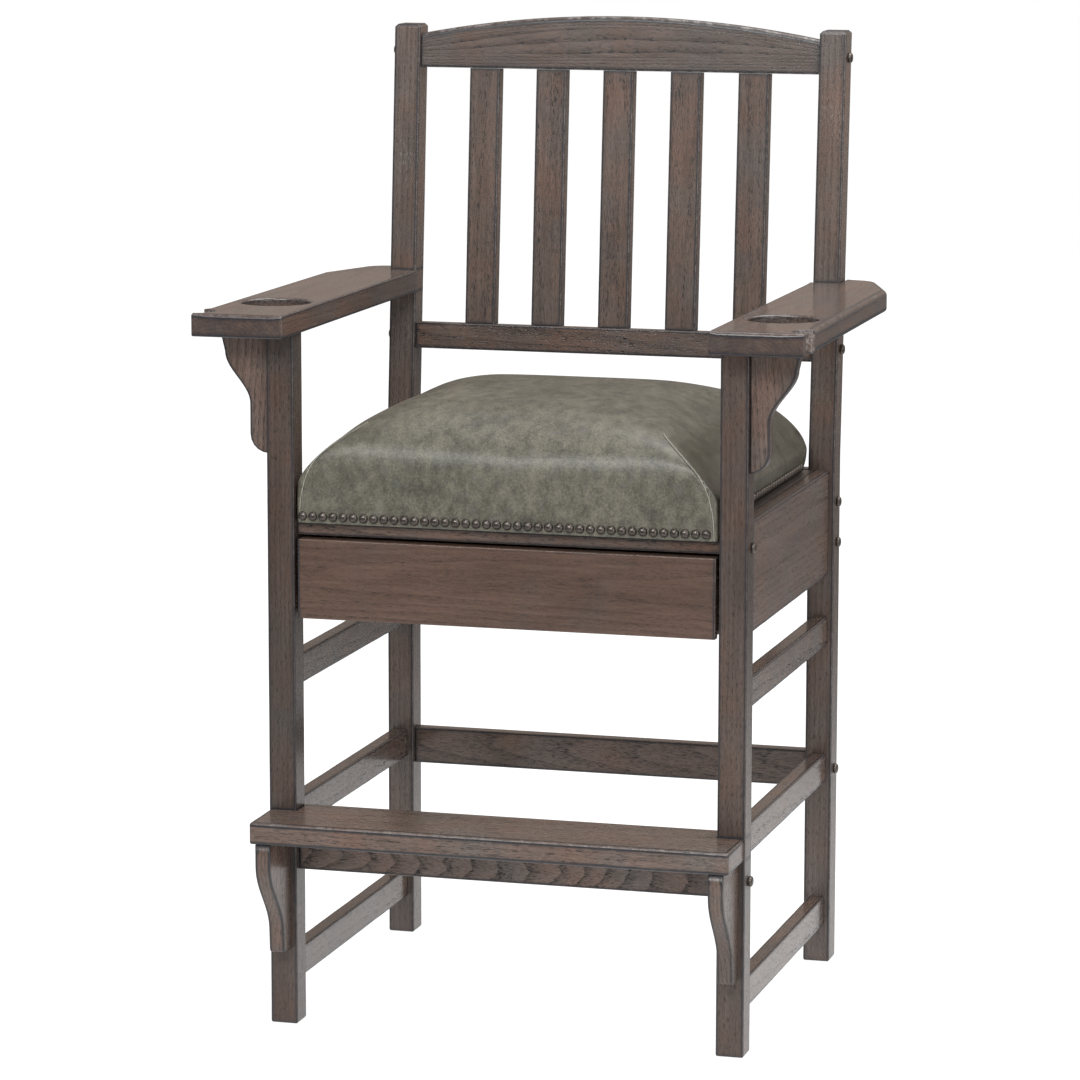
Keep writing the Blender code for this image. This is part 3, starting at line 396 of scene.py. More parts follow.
# %% Outlines with rounded corners
def rounded(corners, spacing=18.0):
    """A closed outline from rows (x, y, corner radius, upper rounding, lower rounding, fade): an arc
    that touches both sides at each corner with a radius, and points along the straights between.
    Gives rows (x, y, upper rounding, lower rounding, fade), and on an arc also the way out, the
    radius and the mitre of the sharp corner."""
    rows = np.array(corners, float)
    spot, radius, extra = rows[:, :2], rows[:, 2], rows[:, 3:]
    before, after = np.roll(spot, 1, 0) - spot, np.roll(spot, -1, 0) - spot
    before /= np.linalg.norm(before, axis=1)[:, None]
    after /= np.linalg.norm(after, axis=1)[:, None]
    half = np.arccos(np.clip((before * after).sum(1), -1, 1)) / 2
    reach = (radius / np.tan(half))[:, None]
    bisector = before + after
    bisector /= np.maximum(np.linalg.norm(bisector, axis=1), 1e-9)[:, None]
    middle = spot + bisector * (radius / np.sin(half))[:, None]
    stretches = []
    for k, (first, last) in enumerate(zip(spot + before * reach, spot + after * reach)):
        bend, curl = spot[k : k + 1], np.zeros((1, 5))
        if radius[k]:
            steps = max(2, int(np.degrees(np.pi - 2 * half[k]) / 18)) + 1
            chord = first + (last - first) * np.linspace(0, 1, steps)[:, None] - middle[k]
            chord /= np.linalg.norm(chord, axis=1)[:, None]
            bend = middle[k] + chord * radius[k]
            sharp = -bisector[k] / np.sin(half[k])
            curl = np.hstack([chord, np.tile([radius[k], *sharp], (steps, 1))])
        stretches.append(np.hstack([bend, np.repeat(extra[k : k + 1], len(bend), 0), curl]))
    outline = []
    for stretch, following in zip(stretches, stretches[1:] + stretches[:1]):
        outline.append(stretch)
        parts = int(np.linalg.norm(following[0, :2] - stretch[-1, :2]) / spacing) + 1
        share = np.arange(1, parts)[:, None] / parts
        outline.append((stretch[-1] + (following[0] - stretch[-1]) * share) * ([1] * 5 + [0] * 5))
    return np.concatenate(outline)


def mitres(outline):
    """The way out at each point of a closed outline, long enough to keep both sides' distance."""
    side = np.roll(outline, -1, 0) - outline
    out = np.stack([side[:, 1], -side[:, 0]], 1) / np.linalg.norm(side, axis=1)[:, None]
    x, y = outline.T
    out *= np.sign((x * np.roll(y, -1) - y * np.roll(x, -1)).sum())
    earlier = np.roll(out, 1, 0)
    return (out + earlier) / np.maximum(1 + (out * earlier).sum(1), 0.3)[:, None]


def arc(middle, radius, start, end, steps, *extra):
    """Rows middle + radius * (cos t, sin t), each followed by a corner radius of 0 and the extras."""
    turn = np.radians(np.linspace(start, end, steps + 1))
    rows = np.stack([middle[0] + radius * np.cos(turn), middle[1] + radius * np.sin(turn)], 1)
    return [(x, y, 0, *extra) for x, y in rows]


def drawn_s(start, end, steps, *extra):
    """An S between two points, upright at both ends: across goes by (1 - cos t) / 2."""
    share = np.linspace(0, 1, steps + 1)
    across = start[0] + (end[0] - start[0]) * (1 - np.cos(np.pi * share)) / 2
    return [(x, y, 0, *extra) for x, y in zip(across, start[1] + (end[1] - start[1]) * share)]


# %% Cut a slab to its outline
FADE_SHARES = np.array([1.0, 0.4, 0.08])[:, None]


def slab_rings(outline, thickness, wear=0.1, steps=5):
    """Rings from the lower face, round its edge, up the side, round the upper edge and in over the
    upper face. Each is the outline less its mitre times an inset, but an arc first shrinks to its
    middle. Gives the grid of points, their distances to an edge and their shares of rub."""
    low, high = thickness
    flat, (upper, lower, fade) = outline[:, :2], outline[:, 2:5].T
    radial, radius, sharp = outline[:, 5:7], outline[:, 7], outline[:, 8:]
    way = np.where(radius[:, None] > 0, sharp, mitres(flat))
    turn = np.linspace(0, np.pi / 2, steps + 1)[:, None]
    worn = wear * dice.random((2, len(flat))) ** 2
    row = np.zeros((1, len(flat)))
    face = FADE_SHARES * fade
    side = np.minimum(FADE[2], (high - low - upper - lower) / 2.2)[None]
    calm = row + FADE[0]
    bend = 0 * turn + row
    rub = np.sin(2 * turn)
    rising, falling = 1 - np.cos(turn), 1 - np.sin(turn)
    insets = [lower + face, lower * falling + worn[0] * rub, row, row, row, row,
              upper * rising + worn[1] * rub, upper + face[::-1]]
    places = [low + 0 * face, low + lower * rising, low + lower + calm, low + lower + side,
              high - upper - side, high - upper - calm, high - upper * falling, high + 0 * face]
    face_edge = FADE_SHARES * FADE[-1] + row
    edges = [face_edge, bend, calm, side, side, calm, bend, face_edge[::-1]]
    rubs = [0 * face, 0.5 * rub + row, row, row, row, row, rub + row, 0 * face]
    inset, place, edge, rub = (np.concatenate(rows) for rows in (insets, places, edges, rubs))
    shrunk = np.minimum(inset, radius)[..., None]
    plan = flat - shrunk * radial - (inset[..., None] - shrunk) * way
    grid = np.concatenate([plan, place[..., None]], -1)
    return grid, edge, rub


def slab(name, order, corners, thickness, finish, grain, pith=(8, -90), tilt=0.0, mirror=False,
         bend=None, ends=(), hole=None, raw=None, body="frame"):
    """An outline sawn from a plank and laid along its axes. grain names the axes across, through
    and along the grain. ends are (axis, place) where a dark end joins another piece, and raw gives
    the share of unstained end grain at each point."""
    grid, edge, rub = slab_rings(rounded(corners), thickness)
    laid = lay(grid, order)
    faces = tube_faces(*edge.shape)
    bottom, top = faces[-2], faces.pop()
    points, edge, rub = laid.reshape(-1, 3), edge.ravel(), rub.ravel()
    for axis, place in ends:
        edge = np.minimum(edge, 0.6 * np.abs(points[:, "xyz".index(axis)] - place))
    edge[bottom] = edge[top] = FADE[-1]
    if hole:
        points, edge, rub = hole(points, faces, top, edge, rub)
    else:
        faces.append(top)
    wood = heartwood(points[:, ["xyz".index(axis) for axis in grain]], pith, tilt)
    marks = {"raw": raw(points)} if raw else {}
    points = bend(points) if bend else points
    points = points * (-1, 1, 1) if mirror else points
    put("oak_" + name, points, faces, finish, name, body, edge=edge, rub=rub, wood=wood, **marks)


print("an S in 4 steps:", np.round([row[0] for row in drawn_s((0, 0), (10, 40), 4)], 1).tolist())

# %% [markdown]
# ## Stained oak
# Oak has dark, open pores that follow the growth rings, and on this chair they show as short dark
# dashes along the grain. Over it lie a brown-grey stain, a dark glaze that was wiped off the
# faces and stays beside every edge, and a paler colour on the rounded edges, which is partly worn
# wood and partly a painted highlight. Image textures would need a photograph of wood. A solid
# pattern is better here: each board keeps the place that it had in the log, so the rings come out
# as arches on one face and as stripes on the next one.

# %% The finish for oak
WARM, COOL = (0.116, 0.070, 0.052), (0.092, 0.0745, 0.066)
# The pale colour of unstained wood, for end grain, and on the rounded edges partly a painted highlight.
GLAZE, BARE_AND_HIGHLIGHT, CHALK = (0.020, 0.019, 0.022), (0.27, 0.25, 0.24), (0.36, 0.33, 0.30)


def oak(name, tone=1.0, rings=0.30, spacing=4.6, pores=0.7, chalk=0.15, rub_and_highlight=0.2, gloss=0.26,
        width=3.6, warp=2.4, cool=0.0):
    """Rings are the distance from the pith over their spacing, less its whole part. Pores are
    noise drawn out along the grain, thicker where a ring begins."""
    make = Finish("oak_" + name)
    wood = make.mark("wood", "Vector")
    edge, rub, raw = (make.mark(mark) for mark in ("edge", "rub", "raw"))
    across, through, along = make.split(wood)
    swirl = make.drawn_out(wood, 26, 4.5, 2.0) - 0.5
    fine_swirl = make.drawn_out(wood, 160, 22) - 0.5
    radius = (across * across + through * through) ** 0.5
    ring = (radius / MM + swirl * (warp * 3) + fine_swirl * 0.9) / spacing
    ring = ring.fraction()
    early = (1 - ring) ** 2.2 * ring.ramp(0, 0.06)
    streak = make.drawn_out(wood, 300, 16, 4.0, 0.7)
    broad = make.drawn_out(wood, 30, 5, 2.0)
    cloud = make.noise(wood, 14.0, 2.0)
    fine = make.drawn_out(wood, 1000, 120)
    pore = fine.ramp(0.53, 0.62) * (early * 0.6 + 0.5) * pores
    shade = 1 - early * rings - pore
    shade = shade * (streak * 0.8 + 0.6) * (broad * 0.7 + 0.65) * tone
    colour = make.mix((cloud * 2.2 - (0.6 - cool)).clamp(), WARM, COOL)
    colour = make.node("VectorMath", {"operation": "SCALE"}, {0: colour, "Scale": shade})
    dashes = make.drawn_out(wood, 1300, 170).ramp(0.60, 0.70)
    patch = make.drawn_out(wood, 17, 9).ramp(0.62 - 0.25 * chalk, 0.80 - 0.25 * chalk)
    chalky = dashes * patch * min(1.0, 2.2 * chalk)
    colour = make.mix(chalky * 0.6, colour, CHALK)
    ragged = make.noise(wood, 110.0, 3.0, 0.6)
    stain = (edge + (ragged - 0.5) * width * 1.3).ramp(width, 0.0) * 0.615
    stain = (stain + edge.ramp(1.7, 0.2) * 0.45).clamp() * (1 - rub**2 * 0.85)
    colour = make.mix(stain, colour, GLAZE)
    # A paler colour on the middle of each rounded edge: partly worn wood, partly a painted highlight
    # where the edge catches the light.
    worn_and_highlight = rub ** 3 * ragged.ramp(0.42, 0.66) * rub_and_highlight
    colour = make.mix(worn_and_highlight.clamp(), colour, BARE_AND_HIGHLIGHT)
    colour = make.mix(raw * streak.ramp(0.38, 0.66), colour, BARE_AND_HIGHLIGHT)
    roughness = (streak - 0.5) * 0.22 + pore * 0.25 + stain * 0.06 + gloss
    height = shade * 0.25 - pore * 1.2 + chalky * 0.5 + streak * 0.5
    return make.finished(colour, roughness, height, 0.12, 0.6)


# A higher share paints a stronger pale band on the rounded edges; on the crest rail's top edge it paints
# the highlight along its rounding.
LEG_OAK = {"left": oak("left_leg", tone=0.61, rings=0.14, pores=0.6),
           "right": oak("right_leg", tone=0.71, rings=0.14, pores=0.6)}
FRAME_OAK = oak("frame", tone=1.0, pores=0.55)
BACK_OAK = oak("back", tone=1.04, chalk=0.3, cool=0.2, warp=1.3, pores=0.55, rings=0.24, rub_and_highlight=0.4)
SLAT_OAK = oak("slats", tone=0.98, rings=0.14, chalk=0.12, warp=1.6, pores=0.8, rub_and_highlight=0.4)
CREST_OAK = oak("crest", tone=0.92, rings=0.5, spacing=3.8, warp=1.1, pores=0.5, chalk=0.25, cool=0.2,
                rub_and_highlight=0.6)
RAIL_OAK = oak("rails", rings=0.34, tone=1.03, chalk=0.1, gloss=0.14)
ARM_OAK = oak("arms", tone=0.82, gloss=0.15, pores=0.35, rings=0.2, chalk=0.0, width=3.0)
BOARD_OAK = oak("foot_board", tone=1.15, rings=0.2, chalk=0.3, gloss=0.22, rub_and_highlight=0.35, width=3.2)
APRON_OAK = oak("apron", rings=0.56, spacing=5.0, tone=1.4, chalk=0.0, warp=3.6, cool=0.1)
FRONT_OAK = oak("drawer_front", rings=0.18, pores=0.4, tone=0.69, gloss=0.24, chalk=0.05, cool=-0.6)
PANEL_OAK = oak("panels", rings=0.22, pores=0.4, tone=1.05, gloss=0.22, chalk=0.05)
# The ledge's finish is greyer and a little darker than the other oak: partly a dark, cool stain, and
# partly painted shade for where it lies under the leather's edge.
LEDGE_OAK_STAIN_AND_SHADE = oak("ledge", tone=0.9, rings=0.2, chalk=0.0, gloss=0.35, cool=1.0)
print("oak finishes:", [m.name for m in bpy.data.materials if m.name.startswith("oak")])

# %% [markdown]
# ## Legs and posts
# The front legs are square and straight and end under the arms. The back posts stand upright up
# to a knee and lean back above it. A bent post could be built from two boards, but the real one
# is sawn from one plank, so the straight board is sheared: above the knee each point moves back
# by a fixed share of its height. The post's top has a plain chamfer.

# %% Make the legs and posts
SIDES = {"left": -1, "right": 1}
LEG_INNER, LEG_OUTER, LEG_DEPTH = 263.0, 297.0, 34.0
POST_FRONT, POST_BACK = 476.0, 512.0
KNEE, RAKE, POST_TOP, ARM_LOW, ARM_HIGH = 654.0, 0.075, 1192.0, 849.0, 877.0


def span(side, near, far):
    """From near to far, out from the middle, on one side of the chair."""
    return (near, far) if side > 0 else (-far, -near)


def knee_bend(laid):
    """Above the knee a point moves back by a fixed share of its height over the knee."""
    laid[..., 1] += RAKE * np.maximum(laid[..., 2] - KNEE, 0)
    return laid


def chamfered_top(low, high, chamfer, joints):
    """Stations of a board whose upper end has a flat chamfer with eased edges."""
    places, insets = stations(low, high - chamfer, (3.0, 0.0), joints)
    cut = np.array([0.0, 0.3, 0.9, chamfer - 0.8, chamfer - 0.25, chamfer])
    ease = np.array([0.0, 0.18, 0.8, chamfer - 0.9, chamfer - 0.2, chamfer + 0.3])
    keep = places < high - chamfer - 0.3
    return np.concatenate([places[keep], high - chamfer + cut]), np.concatenate([insets[keep], ease])


for name, side in SIDES.items():
    across = span(side, LEG_INNER, LEG_OUTER)
    board(f"front_leg_{name}", "xyz", across, (0, LEG_DEPTH), (0, ARM_LOW - 0.3), LEG_OAK[name],
          ends=(3.0, 0.6), joints=(268, 241), pith=(60 * side, 35), wear=0.35)
    board(f"back_post_{name}", "xyz", across, (POST_FRONT, POST_BACK), (0, POST_TOP), BACK_OAK,
          joints=(ARM_HIGH, ARM_LOW), pith=(50 * side, 45), wear=0.35, bend=knee_bend,
          shape=chamfered_top(0, POST_TOP, 3.8, (ARM_HIGH, ARM_LOW, KNEE)))

# %% [markdown]
# ## Rails
# The rails tie legs and posts together. They are thinner than the legs and set in a little from
# their outer faces. Each is the same board with other numbers, so they are listed in a table, one
# row a rail, and made in a loop.

# %% Make the side rails and the cross rails
RAIL_INNER, RAIL_OUTER = 271.0, 290.0
SIDE_SPAN = (LEG_DEPTH + 0.3, POST_FRONT - 0.3)
CROSS_SPAN = (0.3 - LEG_INNER, LEG_INNER - 0.3)
side_rails = {"side_rail_lower": (49.5, 86.5), "side_rail_middle": (237.5, 274.5),
              "side_rail_upper": (415.5, 452.5), "side_panel": (506.0, 640.0)}
for name, side in SIDES.items():
    for rail, height in side_rails.items():
        wide = rail == "side_panel"
        board(f"{rail}_{name}", "xzy", span(side, RAIL_INNER, RAIL_OUTER), height, SIDE_SPAN,
              PANEL_OAK if wide else RAIL_OAK, pith=(-62 * side, 14), tilt=0.01 if wide else 0.035,
              ends=(0.4, 0.4))

cross_rails = {  # through the chair, height, finish, pith, tilt
    "back_stretcher": ((484.5, 503.5), (228, 275), RAIL_OAK, (10, 66), 0.05),
    "foot_apron": ((12, 31), (192.2, 240.7), APRON_OAK, (-6, 62), -0.145),
    "seat_back_panel": ((484.5, 503.5), (506, 640), PANEL_OAK, (20, 80), 0.01),
    "seat_front_rail": ((12, 34), (605.7, 621.7), RAIL_OAK, (10, 60), 0.01),
}
for rail, (through, height, finish, pith, tilt) in cross_rails.items():
    board(rail, "zyx", height, through, CROSS_SPAN, finish, pith=pith, tilt=tilt, ends=(0.4, 0.4))

# %% [markdown]
# ## The slatted back
# Crest rail, lower rail and slats lean with the posts. They are made upright in a frame of their
# own, whose origin is at the posts' knee, and then turned back by the angle of the lean. The
# crest rail is the board again, with the points of its upper half lifted along a round arch.

# %% Make the back
LEAN = math.atan(RAKE)
BACK_MIDDLE = (POST_BACK - POST_FRONT) * math.cos(LEAN) / 2
CREST_LOW, CREST_HIGH, CREST_RISE = 485.1, 528.6, 25.5
LOWER_BACK = (122.5, 156.5)
CREST_RADIUS = (LEG_INNER**2 + CREST_RISE**2) / (2 * CREST_RISE)


def lean(laid):
    """Turn back about the line of the posts' knees: y' = y cos t + z sin t, z' = z cos t - y sin t."""
    x, y, z = np.moveaxis(laid, -1, 0)
    back = POST_FRONT + y * math.cos(LEAN) + z * math.sin(LEAN)
    return np.stack([x, back, KNEE + z * math.cos(LEAN) - y * math.sin(LEAN)], -1)


def arched(laid):
    """Lift the upper half by sqrt(r * r - x * x) - r + rise, and lean."""
    x, z = laid[..., 0], laid[..., 2]
    lift = np.sqrt(CREST_RADIUS**2 - x**2) - CREST_RADIUS + CREST_RISE
    laid[..., 2] = z + lift * (z > (CREST_LOW + CREST_HIGH) / 2)
    return lean(laid)


back_depth = (BACK_MIDDLE - 12, BACK_MIDDLE + 12)
slat_middles = [88.7 * (k - 2) for k in range(5)]
board("crest_rail", "zyx", (CREST_LOW, CREST_HIGH), back_depth, CROSS_SPAN, CREST_OAK,
      radius=(5, 1.8, 1.8, 6), ends=(0.4, 0.4), pith=(-110, 25), tilt=0.03, bend=arched)
board("lower_back_rail", "zyx", LOWER_BACK, back_depth, CROSS_SPAN, RAIL_OAK, radius=1.8,
      ends=(0.4, 0.4), pith=(20, 60), tilt=0.02, bend=lean)
for number, middle in enumerate(slat_middles, 1):
    board(f"back_slat_{number}", "xyz", (middle - 19.75, middle + 19.75),
          (BACK_MIDDLE - 10, BACK_MIDDLE + 10), (LOWER_BACK[1] + 0.3, CREST_LOW - 0.3), SLAT_OAK,
          ends=(0.3, 0.3), pith=(25 - 9 * number, 52), tilt=0.012 * (-1) ** number, wear=0.35, bend=lean)

# %% [markdown]
# ## Arms with a drink recess and a cue notch
# Each arm is a wide plank, round on its outer and front edges and crisp inside, notched at its
# outer front corner for a cue and clipped at its rear corner. A round recess is turned into it.
# A Boolean would cut the recess but leave long thin faces that shade badly. Instead the rings of
# the recess are worked out as a turned profile, and two faces join its rim to the arm's top.

# %% Make the arms
CUP_MIDDLE, CUP_RADIUS, CUP_DEPTH, CUP_LIP, CUP_COVE = (315.75, 94.0), 43.0, 17.0, 3.0, 2.5
NOTCH_MIDDLE, NOTCH_RADIUS = (374.0, -22.2), 20.3
ARM_IN, ARM_OUT, ARM_FRONT, ARM_BACK = 259.5, 374.0, -49.0, 538.0
POST_CUT = POST_FRONT + RAKE * (ARM_HIGH - KNEE) - 0.3

arm_corners = [  # x, y, corner radius, upper rounding, lower rounding, fade
    (ARM_IN, ARM_FRONT, 2.5, 3, 2.5, 3), (270, ARM_FRONT, 0, 5, 2, 3), (286, ARM_FRONT, 0, 5, 2, 9),
    (346, ARM_FRONT, 0, 5, 2, 6), (362, ARM_FRONT, 0, 4, 2, 1), (ARM_OUT, ARM_FRONT, 2, 3, 2, 0.5),
    *arc(NOTCH_MIDDLE, NOTCH_RADIUS, 270, 210, 5, 1.2, 1, 0.6),
    *arc(NOTCH_MIDDLE, NOTCH_RADIUS, 198, 90, 9, 1.2, 1, 2.5),
    (ARM_OUT, 9, 0, 7, 5, 3), (370, 436, 8, 7, 5, 3), (332, ARM_BACK, 30, 5, 4, 9),
    (LEG_OUTER + 0.3, ARM_BACK, 0.8, 1.2, 1, 9), (LEG_OUTER + 0.3, POST_CUT, 0, 0.6, 0.6, 3),
    (ARM_IN, POST_CUT, 0.6, 0.6, 0.6, 3), (ARM_IN, 470, 0, 2, 2, 6), (ARM_IN, -35, 0, 2, 2, 6),
]


def against_post(laid):
    """The end that meets the post follows its lean: y' = y + rake * (z - top)."""
    beside, along = laid[..., 0], laid[..., 1]
    meets = (along > POST_CUT - 4) & (beside < LEG_OUTER + 0.7) & (along < POST_CUT + 0.1)
    laid[..., 1] += RAKE * (laid[..., 2] - ARM_HIGH) * meets
    return laid


def end_grain(points):
    """0.6 on the wall of the cue notch and 0.2 on the recess's wall, by the distance to its middle."""
    notch = np.linalg.norm(points[:, :2] - NOTCH_MIDDLE, axis=1) - NOTCH_RADIUS
    cup = np.linalg.norm(points[:, :2] - CUP_MIDDLE, axis=1) - CUP_RADIUS
    notch = np.clip(1.6 - np.abs(notch), 0, 1) * (np.abs(points[:, 2] - (ARM_LOW + ARM_HIGH) / 2) < 13.5)
    return np.maximum(0.6 * notch, 0.2 * (np.abs(cup) < 1) * (points[:, 2] < ARM_HIGH - 0.5))


def turned(profile, middle, sides):
    """Rings of points radius * (cos t, sin t) about a middle, at each (radius, height)."""
    turn = np.arange(sides) * 2 * np.pi / sides
    radius, height = np.array(profile, float).T[:, :, None]
    rings = [middle[0] + radius * np.cos(turn), middle[1] + radius * np.sin(turn), height + 0 * turn]
    return np.stack(rings, -1)


def drink_recess(points, faces, top, edge, rub, sides=80):
    """Rings from the arm's top over a round lip, down the wall and over the floor, and two faces
    from the first ring to the arm's own last ring, split along the line y through the middle."""
    turn = np.linspace(0, 90, 5)
    sine, cosine = np.sin(np.radians(turn)), np.cos(np.radians(turn))
    outer_lip = CUP_RADIUS + CUP_LIP
    lip = zip(CUP_RADIUS + CUP_LIP * (1 - sine), -CUP_LIP * (1 - cosine))
    cove = zip(CUP_RADIUS - CUP_COVE * (1 - cosine), CUP_COVE - CUP_DEPTH - CUP_COVE * sine)
    profile = [(outer_lip + 1.6, 0), (outer_lip + 0.6, 0), *lip]
    profile += [(CUP_RADIUS, -4), (CUP_RADIUS, -9), *cove]
    profile += [(radius, -CUP_DEPTH) for radius in (39.7, 34, 20, 6)]
    # Each ring's distance to an edge and share of rub; the rub on the lip makes the finish paint a pale
    # rim, partly worn wood and partly a painted highlight.
    marks = [(9, 0), (1, 0), (0.3, 0.5), (0, 0.9), (0, 1), (0, 0.8), (0, 0.4), (1.2, 0), (2.2, 0)]
    marks += [(1.2, 0), (0.6, 0), (0, 0), (0, 0), (0, 0), (0.8, 0), (5, 0), (9, 0), (9, 0)]
    rings = turned(profile, CUP_MIDDLE, sides) + (0, 0, ARM_HIGH)
    first = len(points)
    faces += (np.array(grid_faces(len(profile), sides)) + first).tolist()
    faces.append(list(range(first + (len(profile) - 1) * sides, first + len(profile) * sides)))
    rim = points[top]
    off_line = np.abs(rim[:, 0] - CUP_MIDDLE[0])
    front = int(np.argmin(off_line + 1e4 * (rim[:, 1] > CUP_MIDDLE[1])))
    back = int(np.argmin(off_line + 1e4 * (rim[:, 1] < CUP_MIDDLE[1])))
    quarter = sides // 4
    for start, end, turn_from in ((front, back, quarter), (back, front, 3 * quarter)):
        outer = [top[(start + k) % len(top)] for k in range((end - start) % len(top) + 1)]
        faces.append(outer + [first + (turn_from - k) % sides for k in range(2 * quarter + 1)])
    marks = np.repeat(np.array(marks, float), sides, 0)
    points = np.concatenate([points, rings.reshape(-1, 3)])
    return points, np.concatenate([edge, marks[:, 0]]), np.concatenate([rub, marks[:, 1]])


for name, side in SIDES.items():
    slab(f"arm_{name}", "xyz", arm_corners, (ARM_LOW, ARM_HIGH), ARM_OAK, "xzy", pith=(-20 * side, -60),
         tilt=0.02, mirror=side < 0, bend=against_post, hole=drink_recess, raw=end_grain,
         ends=(("y", ARM_FRONT - 2.5),))

# %% [markdown]
# ## Corbels, foot board and brackets
# The corbels under the arms and the brackets under the foot board have the same drawn-in S. It is
# half a cosine wave, which leaves its upper and lower ends upright, as a band saw cut does.

# %% Make the corbels, the foot board and its brackets
CORBEL_IN, CORBEL_TOP, BRACKET_IN, BRACKET_TOP = LEG_OUTER + 0.3, ARM_LOW - 0.3, -0.3, 240.7
corbel_corners = [
    (CORBEL_IN, CORBEL_TOP, 0, 0.6, 0.6, 3), (CORBEL_IN + 60, CORBEL_TOP, 0, 1.5, 1.5, 5),
    *drawn_s((CORBEL_IN + 54.5, CORBEL_TOP - 23), (CORBEL_IN + 23, CORBEL_TOP - 85), 14, 1.5, 1.5, 8),
    *arc((CORBEL_IN, CORBEL_TOP - 122), 23, 0, -90, 5, 1.5, 1.5, 4),
]
bracket_corners = [
    (BRACKET_IN, BRACKET_TOP, 0, 0.6, 0.6, 3), (BRACKET_IN - 76, BRACKET_TOP, 0, 1.5, 1.5, 5),
    *drawn_s((BRACKET_IN - 76, BRACKET_TOP - 27), (BRACKET_IN - 27, BRACKET_TOP - 119), 14, 1.5, 1.5, 8),
    *arc((BRACKET_IN - 20, BRACKET_TOP - 140.5), 5.5, 180, 270, 4, 1.5, 1.5, 3.5),
    (BRACKET_IN, BRACKET_TOP - 146, 0, 0.6, 0.6, 3),
]
for name, side in SIDES.items():
    slab(f"arm_corbel_{name}", "xzy", corbel_corners, (7.5, 26.5), FRAME_OAK, "xyz", pith=(40, 60),
         tilt=0.06, mirror=side < 0, ends=(("z", ARM_LOW),))
    slab(f"foot_bracket_{name}", "yzx", bracket_corners, (270.5, 289.5), FRAME_OAK, "yxz",
         pith=(-30, 50), tilt=0.04, mirror=side < 0, ends=(("z", BRACKET_TOP),))

BOARD_SIDE, BOARD_FRONT, TONGUE_SIDE, TONGUE_BACK = 296, -79, 262.7, 38
board_corners = [
    (-BOARD_SIDE, BOARD_FRONT, 3.5, 4, 2.5, 9), (BOARD_SIDE, BOARD_FRONT, 3.5, 4, 2.5, 9),
    (BOARD_SIDE, -0.3, 0, 3, 2, 6), (TONGUE_SIDE, -0.3, 0, 1.5, 1.5, 5),
    (TONGUE_SIDE, TONGUE_BACK, 0, 1.5, 1.5, 5), (-TONGUE_SIDE, TONGUE_BACK, 0, 1.5, 1.5, 5),
    (-TONGUE_SIDE, -0.3, 0, 1.5, 1.5, 5), (-BOARD_SIDE, -0.3, 0, 3, 2, 6),
]
slab("foot_board", "xyz", board_corners, (241, 268), BOARD_OAK, "yzx", pith=(30, -75), tilt=0.012)

# %% [markdown]
# ## Drawer front and the ledge beside the seat
# The drawer front is a plain board with a finger cove behind its lower edge. Because of the cove
# it is a slab: its outline is the section, and its thickness is the chair's width. The rabbeted
# cleats inside the side panels are slabs too, and their tops are the ledge beside the seat.

# %% Make the drawer front and the cleats
front_corners = [
    (0, 505.3, 1.6, 1.6, 1.6, 3), *arc((19, 505.3), 8, 180, 90, 5, 1, 1, 1.5), (19, 602.7, 0.6, 1, 1, 5),
    (0, 602.7, 1.6, 1.6, 1.6, 5),
]
slab("drawer_front", "yzx", front_corners, (-259, 259), FRONT_OAK, "zyx", pith=(8, 70), tilt=0.012,
     body="drawer")
cleat_corners = [
    (270.7, 605.7, 0, 0.4, 0.4, 3), (270.7, 640, 0.8, 0.4, 0.4, 3), (256.7, 640, 0.8, 0.4, 0.4, 3),
    (256.7, 621.7, 0, 0.4, 0.4, 2), (239.7, 621.7, 0, 0.4, 0.4, 3), (239.7, 605.7, 0, 0.4, 0.4, 3),
]
for name, side in SIDES.items():
    slab(f"seat_cleat_{name}", "xzy", cleat_corners, SIDE_SPAN, LEDGE_OAK_STAIN_AND_SHADE, "xzy", pith=(40, 30),
         mirror=side < 0)

# %% [markdown]
# ## Bare wood inside
# The drawer box, its runners, the corner blocks and the plywood deck are right as they were
# packed, so they keep their meshes and only get finishes. They have no marks of their own, so
# the pattern reads Object coordinates, with the grain along the axis that each piece needs.


# %% Finish the hidden pieces
def bare_wood(name, light, dark, grain, gloss=0.55, layers=0.0):
    """Streaks are noise drawn out along the grain; layers add the stripes of plywood in height."""
    make = Finish(name)
    place = make.node("TexCoord", out="Object")
    stretch = [220.0, 220.0, 220.0]
    stretch["xyz".index(grain)] = 7.0
    streak = make.noise(make.scaled(place, *stretch), 1.0, 3.0, 0.6)
    stretch["xyz".index(grain)] = 60.0
    pore = make.noise(make.scaled(place, *(5 * part for part in stretch)), 1.0, 1.0).ramp(0.58, 0.68)
    shade = (streak * 1.5 - 0.25).clamp()
    if layers:
        ply = make.split(place)[2] / (layers * MM)
        shade = shade * 0.5 + ply.fraction().ramp(0.42, 0.58) * 0.5
    colour = make.mix(shade, light, dark)
    colour = make.mix(pore * 0.4, colour, tuple(part * 0.5 for part in dark))
    return make.finished(colour, streak * 0.2 + gloss - 0.1, streak * 0.5 - pore, 0.1, 0.5)


